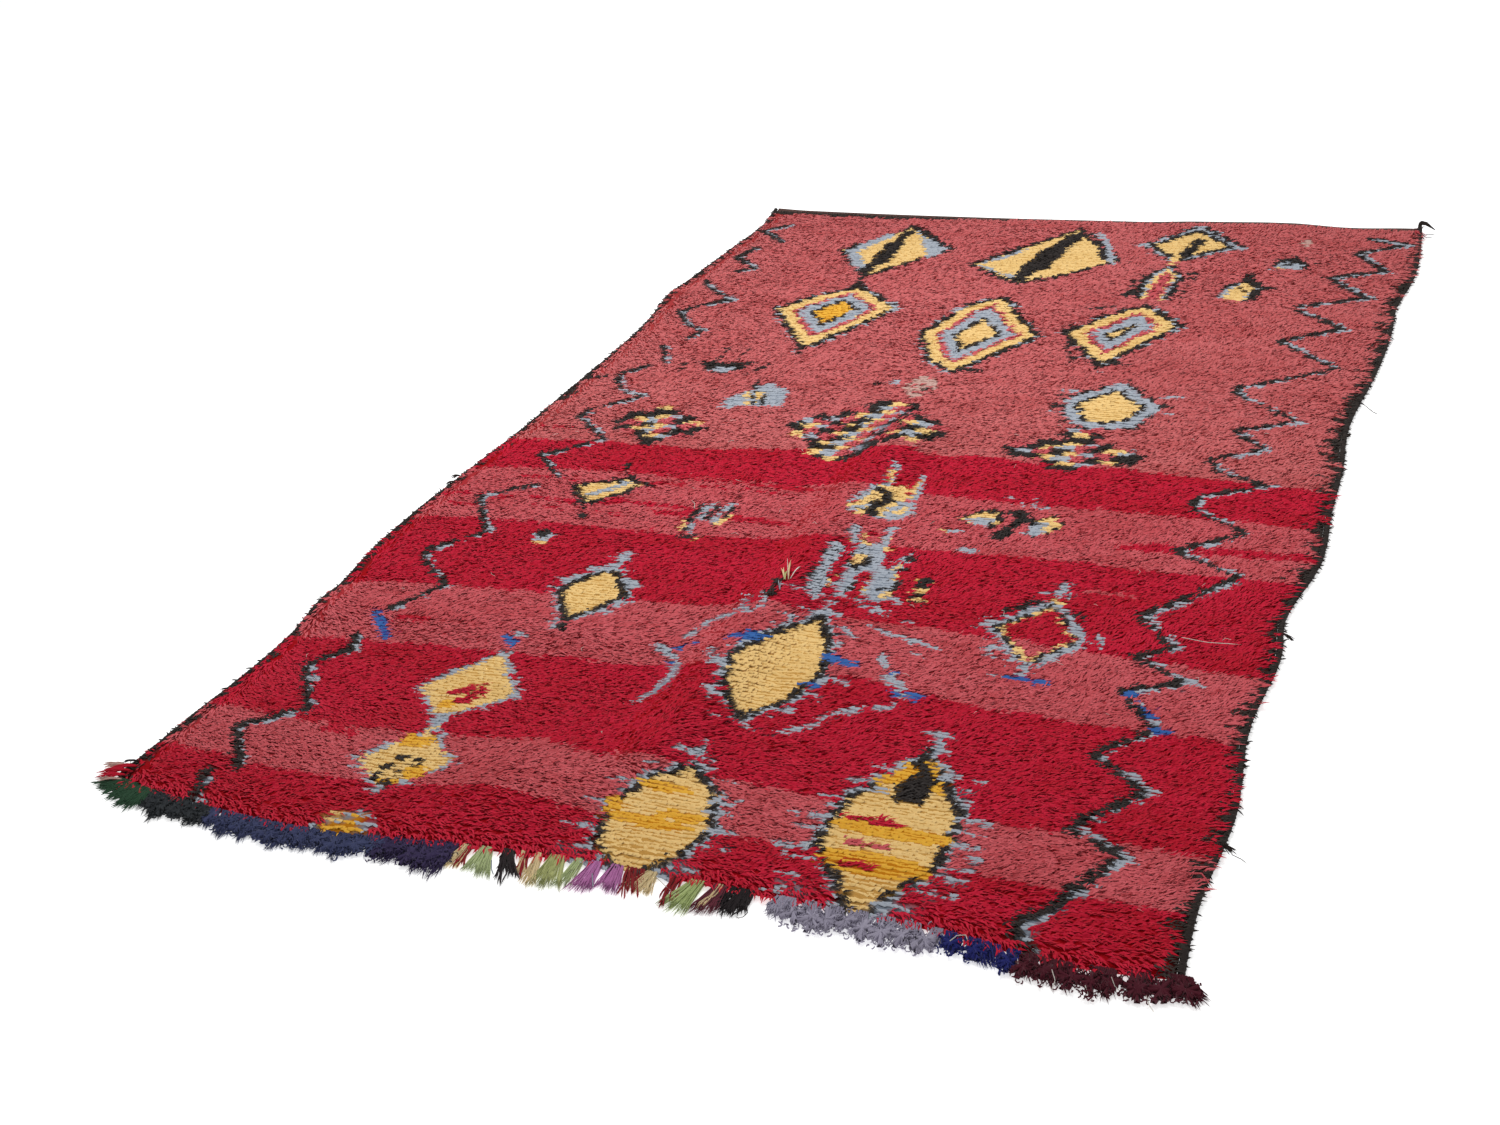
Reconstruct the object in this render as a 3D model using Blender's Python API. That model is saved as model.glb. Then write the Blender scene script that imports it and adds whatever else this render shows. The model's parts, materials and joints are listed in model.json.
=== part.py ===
"""A hand-knotted wool pile rug that lies on a floor, built in Blender, in metres, with Z up.

X runs across the rug and Y along it, from the fringed near end to the far end. The origin is at the
middle of its length and width, fringe included, on the floor.
The parts are one knotted field, an overcast cord down each long side, a narrow flat-woven web at the
far end, and short bundles of tied yarn along the near end.
"""

import math
import random

import bmesh
import bpy

# Driving sizes
PILE_TOP = 0.015  # from the floor to the tips of the pile, where the rug lies flat
RIM_TOP = 0.0105  # the pile splays along its rim, and is lower there
RIM_REACH = 0.06  # how far in from the rim it is lower
CORD_RADIUS = 0.0052  # of the overcast side cords
WEB_DEPTH = 0.022  # of the flat-woven end, along Y
WEB_THICKNESS = 0.0035
HEADING_DEPTH = 0.009  # of the narrow heading that each fringe bundle hangs from
HEADING_THICKNESS = 0.006
CLEARANCE = 0.0003  # between parts that touch
CORD_SETBACK = 0.002  # of each cord's near end from the end of the field
END_TIP = 1.32  # the rug's reach along Y: the far edge of the web, and the tips of the fringe
SIDE_TIP = 0.825  # its reach along X, at the corner bundles

# How finely the parts are divided
FIELD_COLUMNS = 32
FIELD_ROWS = 48
CROWDING = 0.5  # columns crowd towards the lengthwise fold and the sides: 0 is even, under 1
LOCK_PITCH = 0.0089  # along the near end

LUMP_HEIGHT = 0.0009
LUMP_PITCH = (0.17, 0.23)  # across and along

# The outer edges of the rug as it lies
SIDE_EDGES = (  # y, x of the left edge, x of the right edge
    (-1.32, -0.808, 0.803),
    (-1.10, -0.799, 0.783),
    (-0.90, -0.788, 0.793),
    (-0.70, -0.802, 0.776),
    (-0.52, -0.824, 0.788),
    (-0.40, -0.825, 0.778),
    (-0.22, -0.815, 0.804),
    (-0.05, -0.804, 0.796),
    (0.10, -0.802, 0.793),
    (0.28, -0.799, 0.781),
    (0.50, -0.800, 0.798),
    (0.70, -0.822, 0.806),
    (0.85, -0.816, 0.800),
    (1.02, -0.804, 0.816),
    (1.18, -0.793, 0.814),
    (1.34, -0.807, 0.802),
)
END_EDGES = (  # x, y of the field's near edge, y of the web's far edge, y of the fringe's tips
    (-0.83, -1.244, 1.312, -1.278),
    (-0.70, -1.264, 1.308, -1.306),
    (-0.55, -1.273, 1.304, -1.315),
    (-0.40, -1.270, 1.302, -END_TIP),
    (-0.30, -1.257, 1.302, -1.297),
    (-0.20, -1.242, 1.302, -1.303),
    (-0.10, -1.230, 1.303, -1.281),
    (0.00, -1.221, 1.305, -1.284),
    (0.10, -1.218, 1.307, -1.262),
    (0.20, -1.217, 1.309, -1.272),
    (0.38, -1.213, 1.316, -1.272),
    (0.46, -1.214, END_TIP, -1.267),
    (0.53, -1.219, END_TIP, -1.256),
    (0.63, -1.228, 1.314, -1.276),
    (0.73, -1.221, 1.310, -1.276),
    (0.83, -1.204, 1.310, -1.246),
)

# Soft rises where the rug was folded and where it doesn't lie down, each along a straight line
RISES = (  # x and y of one end, x and y of the other, height, reach to either side
    (-0.020, -0.98, -0.015, 0.10, 0.016, 0.095),  # the lengthwise fold
    (-0.020, 0.74, -0.020, 0.92, 0.007, 0.080),
    (-0.820, 0.70, 0.820, 0.72, 0.005, 0.090),  # the crosswise folds
    (-0.820, -0.74, -0.160, -0.73, 0.008, 0.090),
    (-0.220, -1.10, -0.120, -1.09, 0.010, 0.120),
    (-0.820, 1.37, 0.820, 1.37, 0.0090, 0.170),  # the far edge
    (-0.860, 1.37, -0.840, 1.37, 0.005, 0.150),
    (0.300, 1.37, 0.500, 1.37, 0.005, 0.150),
    (0.780, 1.37, 0.860, 1.37, 0.007, 0.150),
)

# The bundles of yarn tied along the near end
BUNDLES = (  # name, x where it starts, x where it ends, colour
    ("fringe_green", -0.797, -0.722, (0.030, 0.075, 0.035)),
    ("fringe_charcoal", -0.720, -0.602, (0.020, 0.027, 0.030)),
    ("fringe_slate_navy", -0.600, -0.312, (0.035, 0.047, 0.110)),
    ("fringe_aubergine", -0.310, -0.192, (0.030, 0.022, 0.070)),
    ("fringe_pale_green", -0.190, -0.122, (0.420, 0.500, 0.250)),
    ("fringe_black_left", -0.120, -0.082, (0.018, 0.014, 0.018)),
    ("fringe_cream", -0.080, -0.052, (0.600, 0.480, 0.280)),
    ("fringe_lime", -0.050, 0.008, (0.400, 0.450, 0.180)),
    ("fringe_orchid", 0.010, 0.078, (0.330, 0.110, 0.290)),
    ("fringe_rust", 0.080, 0.138, (0.210, 0.018, 0.022)),
    ("fringe_leaf", 0.140, 0.178, (0.420, 0.520, 0.250)),
    ("fringe_maroon", 0.180, 0.218, (0.080, 0.018, 0.030)),
    ("fringe_black_right", 0.220, 0.264, (0.012, 0.010, 0.012)),
    ("fringe_lilac", 0.266, 0.502, (0.200, 0.190, 0.290)),
    ("fringe_navy", 0.504, 0.598, (0.015, 0.022, 0.120)),
    ("fringe_wine", 0.600, 0.790, (0.050, 0.008, 0.020)),
)
LEANS = (  # x, how far the tip of the yarn there lies sideways, as a share of its length
    (-0.80, -0.50),
    (-0.72, -0.30),
    (-0.60, 0.10),
    (-0.40, 0.05),
    (-0.20, 0.20),
    (-0.10, 0.05),
    (0.05, -0.20),
    (0.20, -0.10),
    (0.40, 0.15),
    (0.60, 0.10),
    (0.72, 0.20),
    (0.79, 1.25),
)
LENGTH_JITTER = 0.08
LOCK_SECTIONS = (  # share of the length, width as a share of the root's, thickness as a share
    (0.45, 0.80, 0.75),
    (1.00, 0.42, 0.30),
)

# The loose end of the right-hand cord, from the far corner
CORNER_TAIL = (  # x and y from the corner, height of its middle, share of the cord's radius
    (-0.0055, 0.003, 0.019, 0.90),
    (-0.004, 0.005, 0.027, 0.70),
    (0.005, 0.006, 0.025, 0.45),
    (0.018, 0.005, 0.010, 0.18),
)

CRIMSON = (0.392, 0.014, 0.032)
CHARCOAL = (0.026, 0.021, 0.022)
WALNUT = (0.045, 0.028, 0.026)


def clear_scene():
    for obj in list(bpy.data.objects):
        bpy.data.objects.remove(obj, do_unlink=True)


def wool(name, colour):
    material = bpy.data.materials.new(name)
    material.use_nodes = True
    material.diffuse_color = (*colour, 1.0)
    shader = material.node_tree.nodes["Principled BSDF"]
    shader.inputs["Base Color"].default_value = (*colour, 1.0)
    shader.inputs["Roughness"].default_value = 0.95
    shader.inputs["Metallic"].default_value = 0.0
    return material


def looked_up(table, at, column, curved=True):
    """The column's value at a place, joined from row to row by a smooth curve or straight lines."""
    above = next((n for n, row in enumerate(table) if row[0] > at), len(table))
    above = min(max(above, 1), len(table) - 1)
    before, low, high, after = (
        table[min(max(n, 0), len(table) - 1)] for n in range(above - 2, above + 2)
    )
    span = high[0] - low[0]
    share = min(max((at - low[0]) / span, 0.0), 1.0)
    if not curved:
        return low[column] + (high[column] - low[column]) * share
    leaving = (high[column] - before[column]) / (high[0] - before[0]) * span
    arriving = (after[column] - low[column]) / (after[0] - low[0]) * span
    rise = share * share * (3 - 2 * share)
    return (
        low[column] * (1 - rise)
        + high[column] * rise
        + leaving * share * (1 - share) ** 2
        - arriving * share * share * (1 - share)
    )


def left_edge(y):
    return max(looked_up(SIDE_EDGES, y, 1), -SIDE_TIP)


def right_edge(y):
    return looked_up(SIDE_EDGES, y, 2)


def near_edge(x):
    return looked_up(END_EDGES, x, 1)


def far_edge(x):
    return min(looked_up(END_EDGES, x, 2), END_TIP)


def fringe_tip(x):
    return looked_up(END_EDGES, x, 3)


def web_start(x):
    return far_edge(x) - WEB_DEPTH


def field_end(x):
    return web_start(x) - CLEARANCE


def distance_to_line(x, y, x0, y0, x1, y1):
    length_squared = (x1 - x0) ** 2 + (y1 - y0) ** 2
    share = ((x - x0) * (x1 - x0) + (y - y0) * (y1 - y0)) / length_squared
    share = min(max(share, 0.0), 1.0)
    return math.hypot(x - x0 - share * (x1 - x0), y - y0 - share * (y1 - y0))


def lie(x, y):
    """How high the rug's underside is above the floor."""
    height = 0.0
    for x0, y0, x1, y1, rise, reach in RISES:
        share = distance_to_line(x, y, x0, y0, x1, y1) / reach
        if share < 1.0:
            height += rise * (0.5 + 0.5 * math.cos(math.pi * share))
    return height


def crowded(share):
    """A share from 0 to 1, moved so that equal steps are closer at the middle and at both ends."""
    return share - CROWDING * math.sin(4 * math.pi * share) / (4 * math.pi)


def place(across, along, near, far):
    """x and y between the side cords and two end lines, from shares of the width and length."""
    inset = 2 * CORD_RADIUS + CLEARANCE
    y = -END_TIP + 2 * END_TIP * along
    for _ in range(6):
        left = left_edge(y) + inset
        right = right_edge(y) - inset
        x = left + (right - left) * across
        y = near(x) + (far(x) - near(x)) * along
    return x, y


def field_thickness(across, along, x, y):
    width = right_edge(y) - left_edge(y)
    length = field_end(x) - near_edge(x)
    inset = min(across * width, (1 - across) * width, along * length, (1 - along) * length)
    share = min(inset / RIM_REACH, 1.0)
    lumps = math.sin(2 * math.pi * x / LUMP_PITCH[0]) * math.sin(2 * math.pi * y / LUMP_PITCH[1])
    full = PILE_TOP + LUMP_HEIGHT * lumps
    return RIM_TOP + (full - RIM_TOP) * math.sin(math.pi / 2 * share)


def slab(name, columns, rows, place_of, thickness_of, material, collection):
    """A closed solid over a grid: its underside follows the lie, its top is a thickness above it."""
    bm = bmesh.new()
    lift = bm.verts.layers.float.new("lift")
    grid = bmesh.ops.create_grid(bm, x_segments=columns, y_segments=rows, size=0.5)
    for vert in grid["verts"]:
        across = vert.co.x + 0.5
        along = vert.co.y + 0.5
        x, y = place_of(across, along)
        vert.co = (x, y, lie(x, y))
        vert[lift] = thickness_of(across, along, x, y)
    raised = bmesh.ops.extrude_face_region(bm, geom=bm.faces[:], use_keep_orig=True)
    for vert in raised["geom"]:
        if isinstance(vert, bmesh.types.BMVert):
            vert.co.z += vert[lift]
    bmesh.ops.recalc_face_normals(bm, faces=bm.faces)
    mesh = bpy.data.meshes.new(name)
    bm.to_mesh(mesh)
    bm.free()
    mesh.materials.append(material)
    obj = bpy.data.objects.new(name, mesh)
    collection.objects.link(obj)
    return obj


def add_field(material, collection):
    return slab(
        "pile_field",
        FIELD_COLUMNS,
        FIELD_ROWS,
        lambda across, along: place(crowded(across), along, near_edge, field_end),
        lambda across, along, x, y: field_thickness(crowded(across), along, x, y),
        material,
        collection,
    )


def add_end_web(material, collection):
    return slab(
        "end_web",
        FIELD_COLUMNS,
        1,
        lambda across, along: place(crowded(across), along, web_start, far_edge),
        lambda across, along, x, y: WEB_THICKNESS,
        material,
        collection,
    )


def add_side_cord(name, across, inward, tail, material, collection):
    """The overcast cord down one side, beside the field's rows and half of the web."""
    edge = left_edge if across == 0 else right_edge
    ys = [place(across, row / FIELD_ROWS, near_edge, field_end)[1] for row in range(FIELD_ROWS + 1)]
    ys[0] += CORD_SETBACK
    ys.append(ys[-1] + WEB_DEPTH / 2)
    route = []
    for y in ys:
        x = edge(y) + inward * CORD_RADIUS
        route.append((x, y, lie(x, y) + CORD_RADIUS, 1.0))
    corner_x = edge(END_TIP)
    corner_y = far_edge(corner_x)
    route += [(corner_x + dx, corner_y + dy, height, share) for dx, dy, height, share in tail]
    curve = bpy.data.curves.new(name, "CURVE")
    curve.dimensions = "3D"
    curve.twist_mode = "Z_UP"
    curve.bevel_depth = CORD_RADIUS
    curve.bevel_resolution = 2
    curve.use_fill_caps = True
    spline = curve.splines.new("POLY")
    spline.points.add(len(route) - 1)
    for point, (x, y, height, share) in zip(spline.points, route):
        point.co = (x, y, height, 1.0)
        point.radius = share
    curve.materials.append(material)
    cord = bpy.data.objects.new(name, curve)
    collection.objects.link(cord)
    return cord


def add_bundle(name, start, end, chance, material, collection):
    """A narrow heading whose front faces are drawn out into locks that lie on the floor."""
    near_line = [
        place(crowded(column / FIELD_COLUMNS), 0, near_edge, field_end)
        for column in range(FIELD_COLUMNS + 1)
    ]
    locks = max(2, round((end - start) / LOCK_PITCH))

    def place_of(across, along):
        x = start + (end - start) * across
        back = looked_up(near_line, x, 1, curved=False) - 1.5 * CLEARANCE
        return x, back - HEADING_DEPTH * (1 - along)

    heading = slab(
        name, locks, 1, place_of, lambda *_: HEADING_THICKNESS, material, collection
    )
    bm = bmesh.new()
    bm.from_mesh(heading.data)
    fronts = [face for face in bm.faces if face.normal.y < -0.7]
    for face in sorted(fronts, key=lambda front: front.calc_center_median().x):
        root = face.calc_center_median()
        length = root.y - fringe_tip(root.x)
        reach = length * (1 + chance.uniform(-LENGTH_JITTER, LENGTH_JITTER))
        shift = looked_up(LEANS, root.x, 1) * reach
        half_width = (end - start) / locks / 2
        for share, width, thickness in LOCK_SECTIONS:
            face = bmesh.ops.extrude_discrete_faces(bm, faces=[face])["faces"][0]
            middle = face.calc_center_median()
            for vert in face.verts:
                side = math.copysign(half_width * width, vert.co.x - middle.x)
                x = root.x + shift * share + side
                vert.co.z = HEADING_THICKNESS * thickness if vert.co.z > middle.z else 0.0
                vert.co.y = max(root.y - reach * share, -END_TIP)
                vert.co.x = min(max(x, -SIDE_TIP), SIDE_TIP)
    bmesh.ops.recalc_face_normals(bm, faces=bm.faces)
    bm.to_mesh(heading.data)
    bm.free()
    return heading


def main():
    clear_scene()
    parts = bpy.data.collections.new("pile_rug")
    bpy.context.scene.collection.children.link(parts)

    charcoal = wool("charcoal_cord", CHARCOAL)
    add_field(wool("crimson_pile", CRIMSON), parts)
    add_end_web(wool("walnut_web", WALNUT), parts)
    add_side_cord("selvedge_left", 0, 1.0, (), charcoal, parts)
    add_side_cord("selvedge_right", 1, -1.0, CORNER_TAIL, charcoal, parts)

    chance = random.Random(7)
    for name, start, end, colour in BUNDLES:
        add_bundle(name, start, end, chance, wool(name + "_yarn", colour), parts)


main()
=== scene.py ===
"""The looks of a hand-knotted wool pile rug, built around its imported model, in metres, with Z up.

X runs across the rug and Y along it, from the fringed near end to the far end. Every knot is two
short ends of yarn rooted in the ground weave. The weaver's chart says which yarn each knot has.
"""

import json
import math
from collections import namedtuple

import bpy
import numpy as np
from mathutils import Matrix

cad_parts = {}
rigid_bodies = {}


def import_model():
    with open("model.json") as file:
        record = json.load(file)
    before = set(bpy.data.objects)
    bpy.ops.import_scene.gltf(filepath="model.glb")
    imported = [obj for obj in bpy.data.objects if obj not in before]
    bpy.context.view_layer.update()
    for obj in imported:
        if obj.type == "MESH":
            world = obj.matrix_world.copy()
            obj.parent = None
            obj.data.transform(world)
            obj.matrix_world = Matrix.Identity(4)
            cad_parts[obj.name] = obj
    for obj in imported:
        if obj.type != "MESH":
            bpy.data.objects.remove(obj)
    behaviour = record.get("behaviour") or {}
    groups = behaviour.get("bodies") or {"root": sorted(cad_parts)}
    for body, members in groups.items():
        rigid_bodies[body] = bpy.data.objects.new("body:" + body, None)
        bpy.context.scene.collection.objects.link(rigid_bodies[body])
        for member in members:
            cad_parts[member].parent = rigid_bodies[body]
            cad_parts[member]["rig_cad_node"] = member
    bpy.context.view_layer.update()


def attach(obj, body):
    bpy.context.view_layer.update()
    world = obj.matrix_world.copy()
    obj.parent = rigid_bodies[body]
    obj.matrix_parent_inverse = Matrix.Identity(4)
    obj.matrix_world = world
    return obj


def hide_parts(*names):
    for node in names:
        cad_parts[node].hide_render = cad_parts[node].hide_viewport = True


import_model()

bl_info = {
    "name": "Hand-knotted pile rug",
    "version": (1, 0, 0),
    "blender": (4, 5, 0),
    "location": "View3D > Sidebar > Rug",
    "description": "Knots, fringes and finishes a wool pile rug that lies on a floor",
    "category": "Object",
}

# Sizes that the rug's solids have too
PILE_TOP = 0.015
RIM_TOP = 0.0105
RIM_REACH = 0.06
CORD_RADIUS = 0.0052
WEB_DEPTH = 0.022
WEB_THICKNESS = 0.0035
CLEARANCE = 0.0003
END_TIP = 1.32
SIDE_TIP = 0.825
SIDE_EDGES = (  # y, x of the left edge, x of the right edge
    (-1.32, -0.808, 0.803),
    (-1.10, -0.799, 0.783),
    (-0.90, -0.788, 0.793),
    (-0.70, -0.802, 0.776),
    (-0.52, -0.824, 0.788),
    (-0.40, -0.825, 0.778),
    (-0.22, -0.815, 0.804),
    (-0.05, -0.804, 0.796),
    (0.10, -0.802, 0.793),
    (0.28, -0.799, 0.781),
    (0.50, -0.800, 0.798),
    (0.70, -0.822, 0.806),
    (0.85, -0.816, 0.800),
    (1.02, -0.804, 0.816),
    (1.18, -0.793, 0.814),
    (1.34, -0.807, 0.802),
)
END_EDGES = (  # x, y of the field's near edge, y of the web's far edge, y of the fringe's tips
    (-0.83, -1.244, 1.312, -1.278),
    (-0.70, -1.264, 1.308, -1.306),
    (-0.55, -1.273, 1.304, -1.315),
    (-0.40, -1.270, 1.302, -1.320),
    (-0.30, -1.257, 1.302, -1.297),
    (-0.20, -1.242, 1.302, -1.303),
    (-0.10, -1.230, 1.303, -1.281),
    (0.00, -1.221, 1.305, -1.284),
    (0.10, -1.218, 1.307, -1.262),
    (0.20, -1.217, 1.309, -1.272),
    (0.38, -1.213, 1.316, -1.272),
    (0.46, -1.214, 1.320, -1.267),
    (0.53, -1.219, 1.320, -1.256),
    (0.63, -1.228, 1.314, -1.276),
    (0.73, -1.221, 1.310, -1.276),
    (0.83, -1.204, 1.310, -1.246),
)
RISES = (  # x and y of one end, x and y of the other, height, reach to either side
    (-0.020, -0.98, -0.015, 0.10, 0.016, 0.095),
    (-0.020, 0.74, -0.020, 0.92, 0.007, 0.080),
    (-0.820, 0.70, 0.820, 0.72, 0.005, 0.090),
    (-0.820, -0.74, -0.160, -0.73, 0.008, 0.090),
    (-0.220, -1.10, -0.120, -1.09, 0.010, 0.120),
    (-0.820, 1.37, 0.820, 1.37, 0.0090, 0.170),
    (-0.860, 1.37, -0.840, 1.37, 0.005, 0.150),
    (0.300, 1.37, 0.500, 1.37, 0.005, 0.150),
    (0.780, 1.37, 0.860, 1.37, 0.007, 0.150),
)
CORNER_TAIL = (  # x and y from the far right corner, height of its middle, share of the cord's radius
    (-0.0055, 0.003, 0.019, 1.00),
    (-0.004, 0.005, 0.027, 0.95),
    (0.007, 0.006, 0.025, 0.80),
    (0.028, 0.002, 0.012, 0.18),
)
FLAT_SIZE = (1.60, 2.55)  # of the knotted ground, laid flat, across and along

# The finish in the record that each yarn, cord and weave takes
SLOTS = {
    "crimson": "crimson_pile",
    "rose": "rose_pile",
    "blush": "rose_pile",
    "gold": "gold_pile",
    "saffron": "saffron_pile",
    "black": "black_pile",
    "mist": "mist_pile",
    "cobalt": "cobalt_pile",
    "cream": "cream_yarn",
    "charcoal": "charcoal_cord",
    "cord": "charcoal_cord",
    "web": "walnut_web",
    "thread": "cream_yarn",
    "fringe_green": "bottle_green_yarn",
    "fringe_charcoal": "charcoal_green_yarn",
    "fringe_slate_navy": "slate_navy_yarn",
    "fringe_aubergine": "aubergine_yarn",
    "fringe_pale_green": "pale_green_yarn",
    "fringe_black_left": "black_yarn",
    "fringe_cream": "cream_yarn",
    "fringe_lime": "lime_yarn",
    "fringe_orchid": "orchid_yarn",
    "fringe_rust": "rust_yarn",
    "fringe_leaf": "leaf_yarn",
    "fringe_maroon": "maroon_yarn",
    "fringe_black_right": "black_yarn",
    "fringe_lilac": "lilac_grey_yarn",
    "fringe_navy": "navy_yarn",
    "fringe_wine": "wine_yarn",
}

# How the ends of a knot are cut. ends is how many a knot has, and triangles is how many each takes. stray
# is how far they turn from the nap, in radians, longest their greatest share of the pile's length, and
# scatter how far their roots stand from the row, as a share of its width. share and depth deepen their
# colour in painted shade, uneven is how much their tones vary, and the field after uneven how much painted
# shade darkens every other row, which lies lower. Each row of profile is a place along an end: its share of
# the length, of the middle's height, of the tip's height and of the radius.
Habit = namedtuple("Habit", "ends triangles stray longest scatter share depth uneven dimmed profile")
BLUNT = Habit(
    ends=2,
    triangles=8,
    stray=0.13,
    longest=1.18,
    scatter=0.12,
    share=0.84,
    depth=1.2,
    uneven=0.24,
    dimmed=0.15,
    profile=((0.0, 0, 0, 0.0), (0.28, 1, 0, 1.0), (0.84, 0.3, 0.7, 0.90), (1.0, 0, 0.92, 0.0)),
)
FRAYED = Habit(
    ends=4,
    triangles=2,
    stray=0.28,
    longest=1.5,
    scatter=0.45,
    share=0.76,
    depth=1.35,
    uneven=0.32,
    dimmed=0.0,
    profile=((0.0, 0, 0, 0.0), (0.48, 1, 0, 1.0), (1.0, 0, 1, 0.0)),
)

# The yarns, in the order in which the chart numbers them
CRIMSON, ROSE, BLUSH, GOLD, SAFFRON, BLACK, MIST, COBALT, CREAM, CHARCOAL = range(10)
OUTLINE = 10  # black, with mist where the edge steps out
YARNS = (  # name, how its ends are cut, share of the pile's length, of the yarn's radius
    ("crimson", FRAYED, 1.00, 1.00),
    ("rose", FRAYED, 0.95, 1.02),
    ("blush", FRAYED, 0.95, 1.02),
    ("gold", BLUNT, 0.68, 1.20),
    ("saffron", BLUNT, 0.70, 1.18),
    ("black", FRAYED, 0.80, 0.95),
    ("mist", BLUNT, 0.80, 1.00),
    ("cobalt", BLUNT, 0.85, 1.00),
    ("cream", BLUNT, 0.80, 0.90),
    ("charcoal", FRAYED, 0.62, 0.90),
)

# The chart's y is measured from here
CHART_MIDDLE = 0.045
# Where each stripe of the field ends, going towards the near end
STRIPE_X = (-0.80, -0.60, -0.40, -0.20, 0.00, 0.20, 0.40, 0.60, 0.78)
STRIPES = (  # yarn above the line, y of the line at each of those x
    (BLUSH, (-0.125, -0.105, -0.100, -0.065, -0.040, -0.025, -0.025, -0.030, -0.040)),
    (CRIMSON, (-0.255, -0.225, -0.205, -0.200, -0.195, -0.185, -0.180, -0.175, -0.175)),
    (ROSE, (-0.460, -0.435, -0.430, -0.415, -0.390, -0.375, -0.365, -0.360, -0.350)),
    (CRIMSON, (-0.705, -0.675, -0.660, -0.640, -0.620, -0.615, -0.615, -0.625, -0.630)),
    (ROSE, (-0.890, -0.862, -0.845, -0.828, -0.800, -0.765, -0.800, -0.800, -0.795)),
    (CRIMSON, (-1.088, -1.095, -1.078, -1.045, -1.050, -1.060, -1.055, -1.045, -1.048)),
    (ROSE, (-1.200, -1.215, -1.205, -1.170, -1.185, -1.170, -1.160, -1.160, -1.160)),
)
# Rows where the weaver ran out of one red and went on with the other
STREAKS = (  # x and y of one end, x and y of the other, width, yarn
    (-0.6, -0.215, -0.09, -0.215, 0.012, CRIMSON),
    (-0.68, -0.27, -0.58, -0.268, 0.01, CRIMSON),
    (-0.42, -0.242, -0.12, -0.238, 0.006, CRIMSON),
    (-0.62, -0.268, -0.45, -0.27, 0.007, CRIMSON),
    (-0.46, -0.325, -0.2, -0.335, 0.014, CRIMSON),
    (-0.62, -0.35, -0.46, -0.345, 0.014, CRIMSON),
    (-0.36, -0.352, -0.1, -0.345, 0.012, CRIMSON),
    (-0.8, -0.362, -0.66, -0.362, 0.01, CRIMSON),
    (-0.6, -0.378, -0.42, -0.375, 0.007, CRIMSON),
    (-0.8, -0.4, -0.7, -0.4, 0.005, CRIMSON),
    (0.49, -0.295, 0.78, -0.268, 0.02, CRIMSON),
    (-0.8, -0.06, -0.64, -0.06, 0.006, CRIMSON),
    (-0.55, -1.105, -0.5, -1.105, 0.014, CRIMSON),
    (-0.62, -0.798, -0.56, -0.795, 0.008, CRIMSON),
    (-0.13, -1.045, -0.09, -1.05, 0.02, CRIMSON),
    (0.47, -0.445, 0.57, -0.447, 0.006, ROSE),
    (0.66, -0.455, 0.7, -0.456, 0.006, ROSE),
)
# The dark band beside each cord
BANDS = (  # y, width at the left, width at the right
    (-1.27, 0.006, 0.016),
    (-1.15, 0.008, 0.020),
    (-1.00, 0.006, 0.013),
    (-0.80, 0.003, 0.011),
    (-0.62, 0.006, 0.012),
    (-0.45, 0.003, 0.011),
    (-0.30, 0.003, 0.018),
    (-0.10, 0.002, 0.022),
    (0.05, 0.003, 0.014),
    (0.15, 0.010, 0.022),
    (0.30, 0.004, 0.020),
    (0.50, 0.003, 0.018),
    (0.70, 0.003, 0.016),
    (0.88, 0.009, 0.014),
    (1.00, 0.003, 0.010),
    (1.28, 0.001, 0.001),
)
FAR_END_SHADE = (  # x, how far charcoal knots reach in from the far end, as painted shade where the end curls
    (-0.82, 0.016),
    (-0.60, 0.018),
    (-0.40, 0.011),
    (-0.15, 0.000),
    (0.82, 0.000),
)
ZIGZAGS = (  # in millimetres: x and y of each turn
    (-710, 1140, -760, 1100, -680, 1030),
    (-730, 970, -750, 910, -670, 840, -710, 820),
    (-760, 750, -730, 700, -640, 630, -700, 600, -740, 560, -690, 490, -630, 460, -650, 410),
    (-690, 370, -640, 280),
    (-670, 260, -720, 200, -670, 130, -610, 110, -690, 30, -700, 0, -600, -90, -620, -120, -670, -170),
    (-690, -180, -610, -260),
    (-630, -300, -720, -365, -630, -490, -650, -510),
    (-670, -530, -700, -570, -700, -595, -600, -675, -620, -730, -640, -780),
    (-660, -860, -640, -900, -690, -955, -610, -1065, -690, -1140, -620, -1220),
    (-660, -1250, -640, -1300, -620, -1350),
    (710, 1190, 790, 1165, 690, 1100, 760, 995, 650, 945, 745, 840, 610, 775),
    (620, 750, 720, 660, 605, 590, 730, 470, 660, 420, 560, 350, 575, 320, 695, 225, 590, 165,
     660, 100, 570, 45, 600, 0, 690, -35, 580, -100, 575, -140, 680, -210, 580, -290, 695, -350,
     600, -470, 570, -500, 640, -575, 590, -615, 680, -665, 590, -710),
    (600, -720, 660, -790, 590, -870, 680, -930, 600, -1030, 680, -1070, 640, -1140, 620, -1190,
     585, -1230, 650, -1320),
)
ZIGZAG_SIDES = (  # how far towards +x from its line each yarn starts and ends, yarn, how ragged, its growth
    (-0.013, 0.003, BLACK, 0.6, 1.0),
    (0.003, 0.010, MIST, 1.2, 0.0),
)
# Zigzags keep their width this far to either side of this y. Beyond it their growing side is up to half
# as broad again.
ZIGZAG_PLAIN = (-0.2, 0.6)
ZIGZAG_SPARE = 0.5
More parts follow.
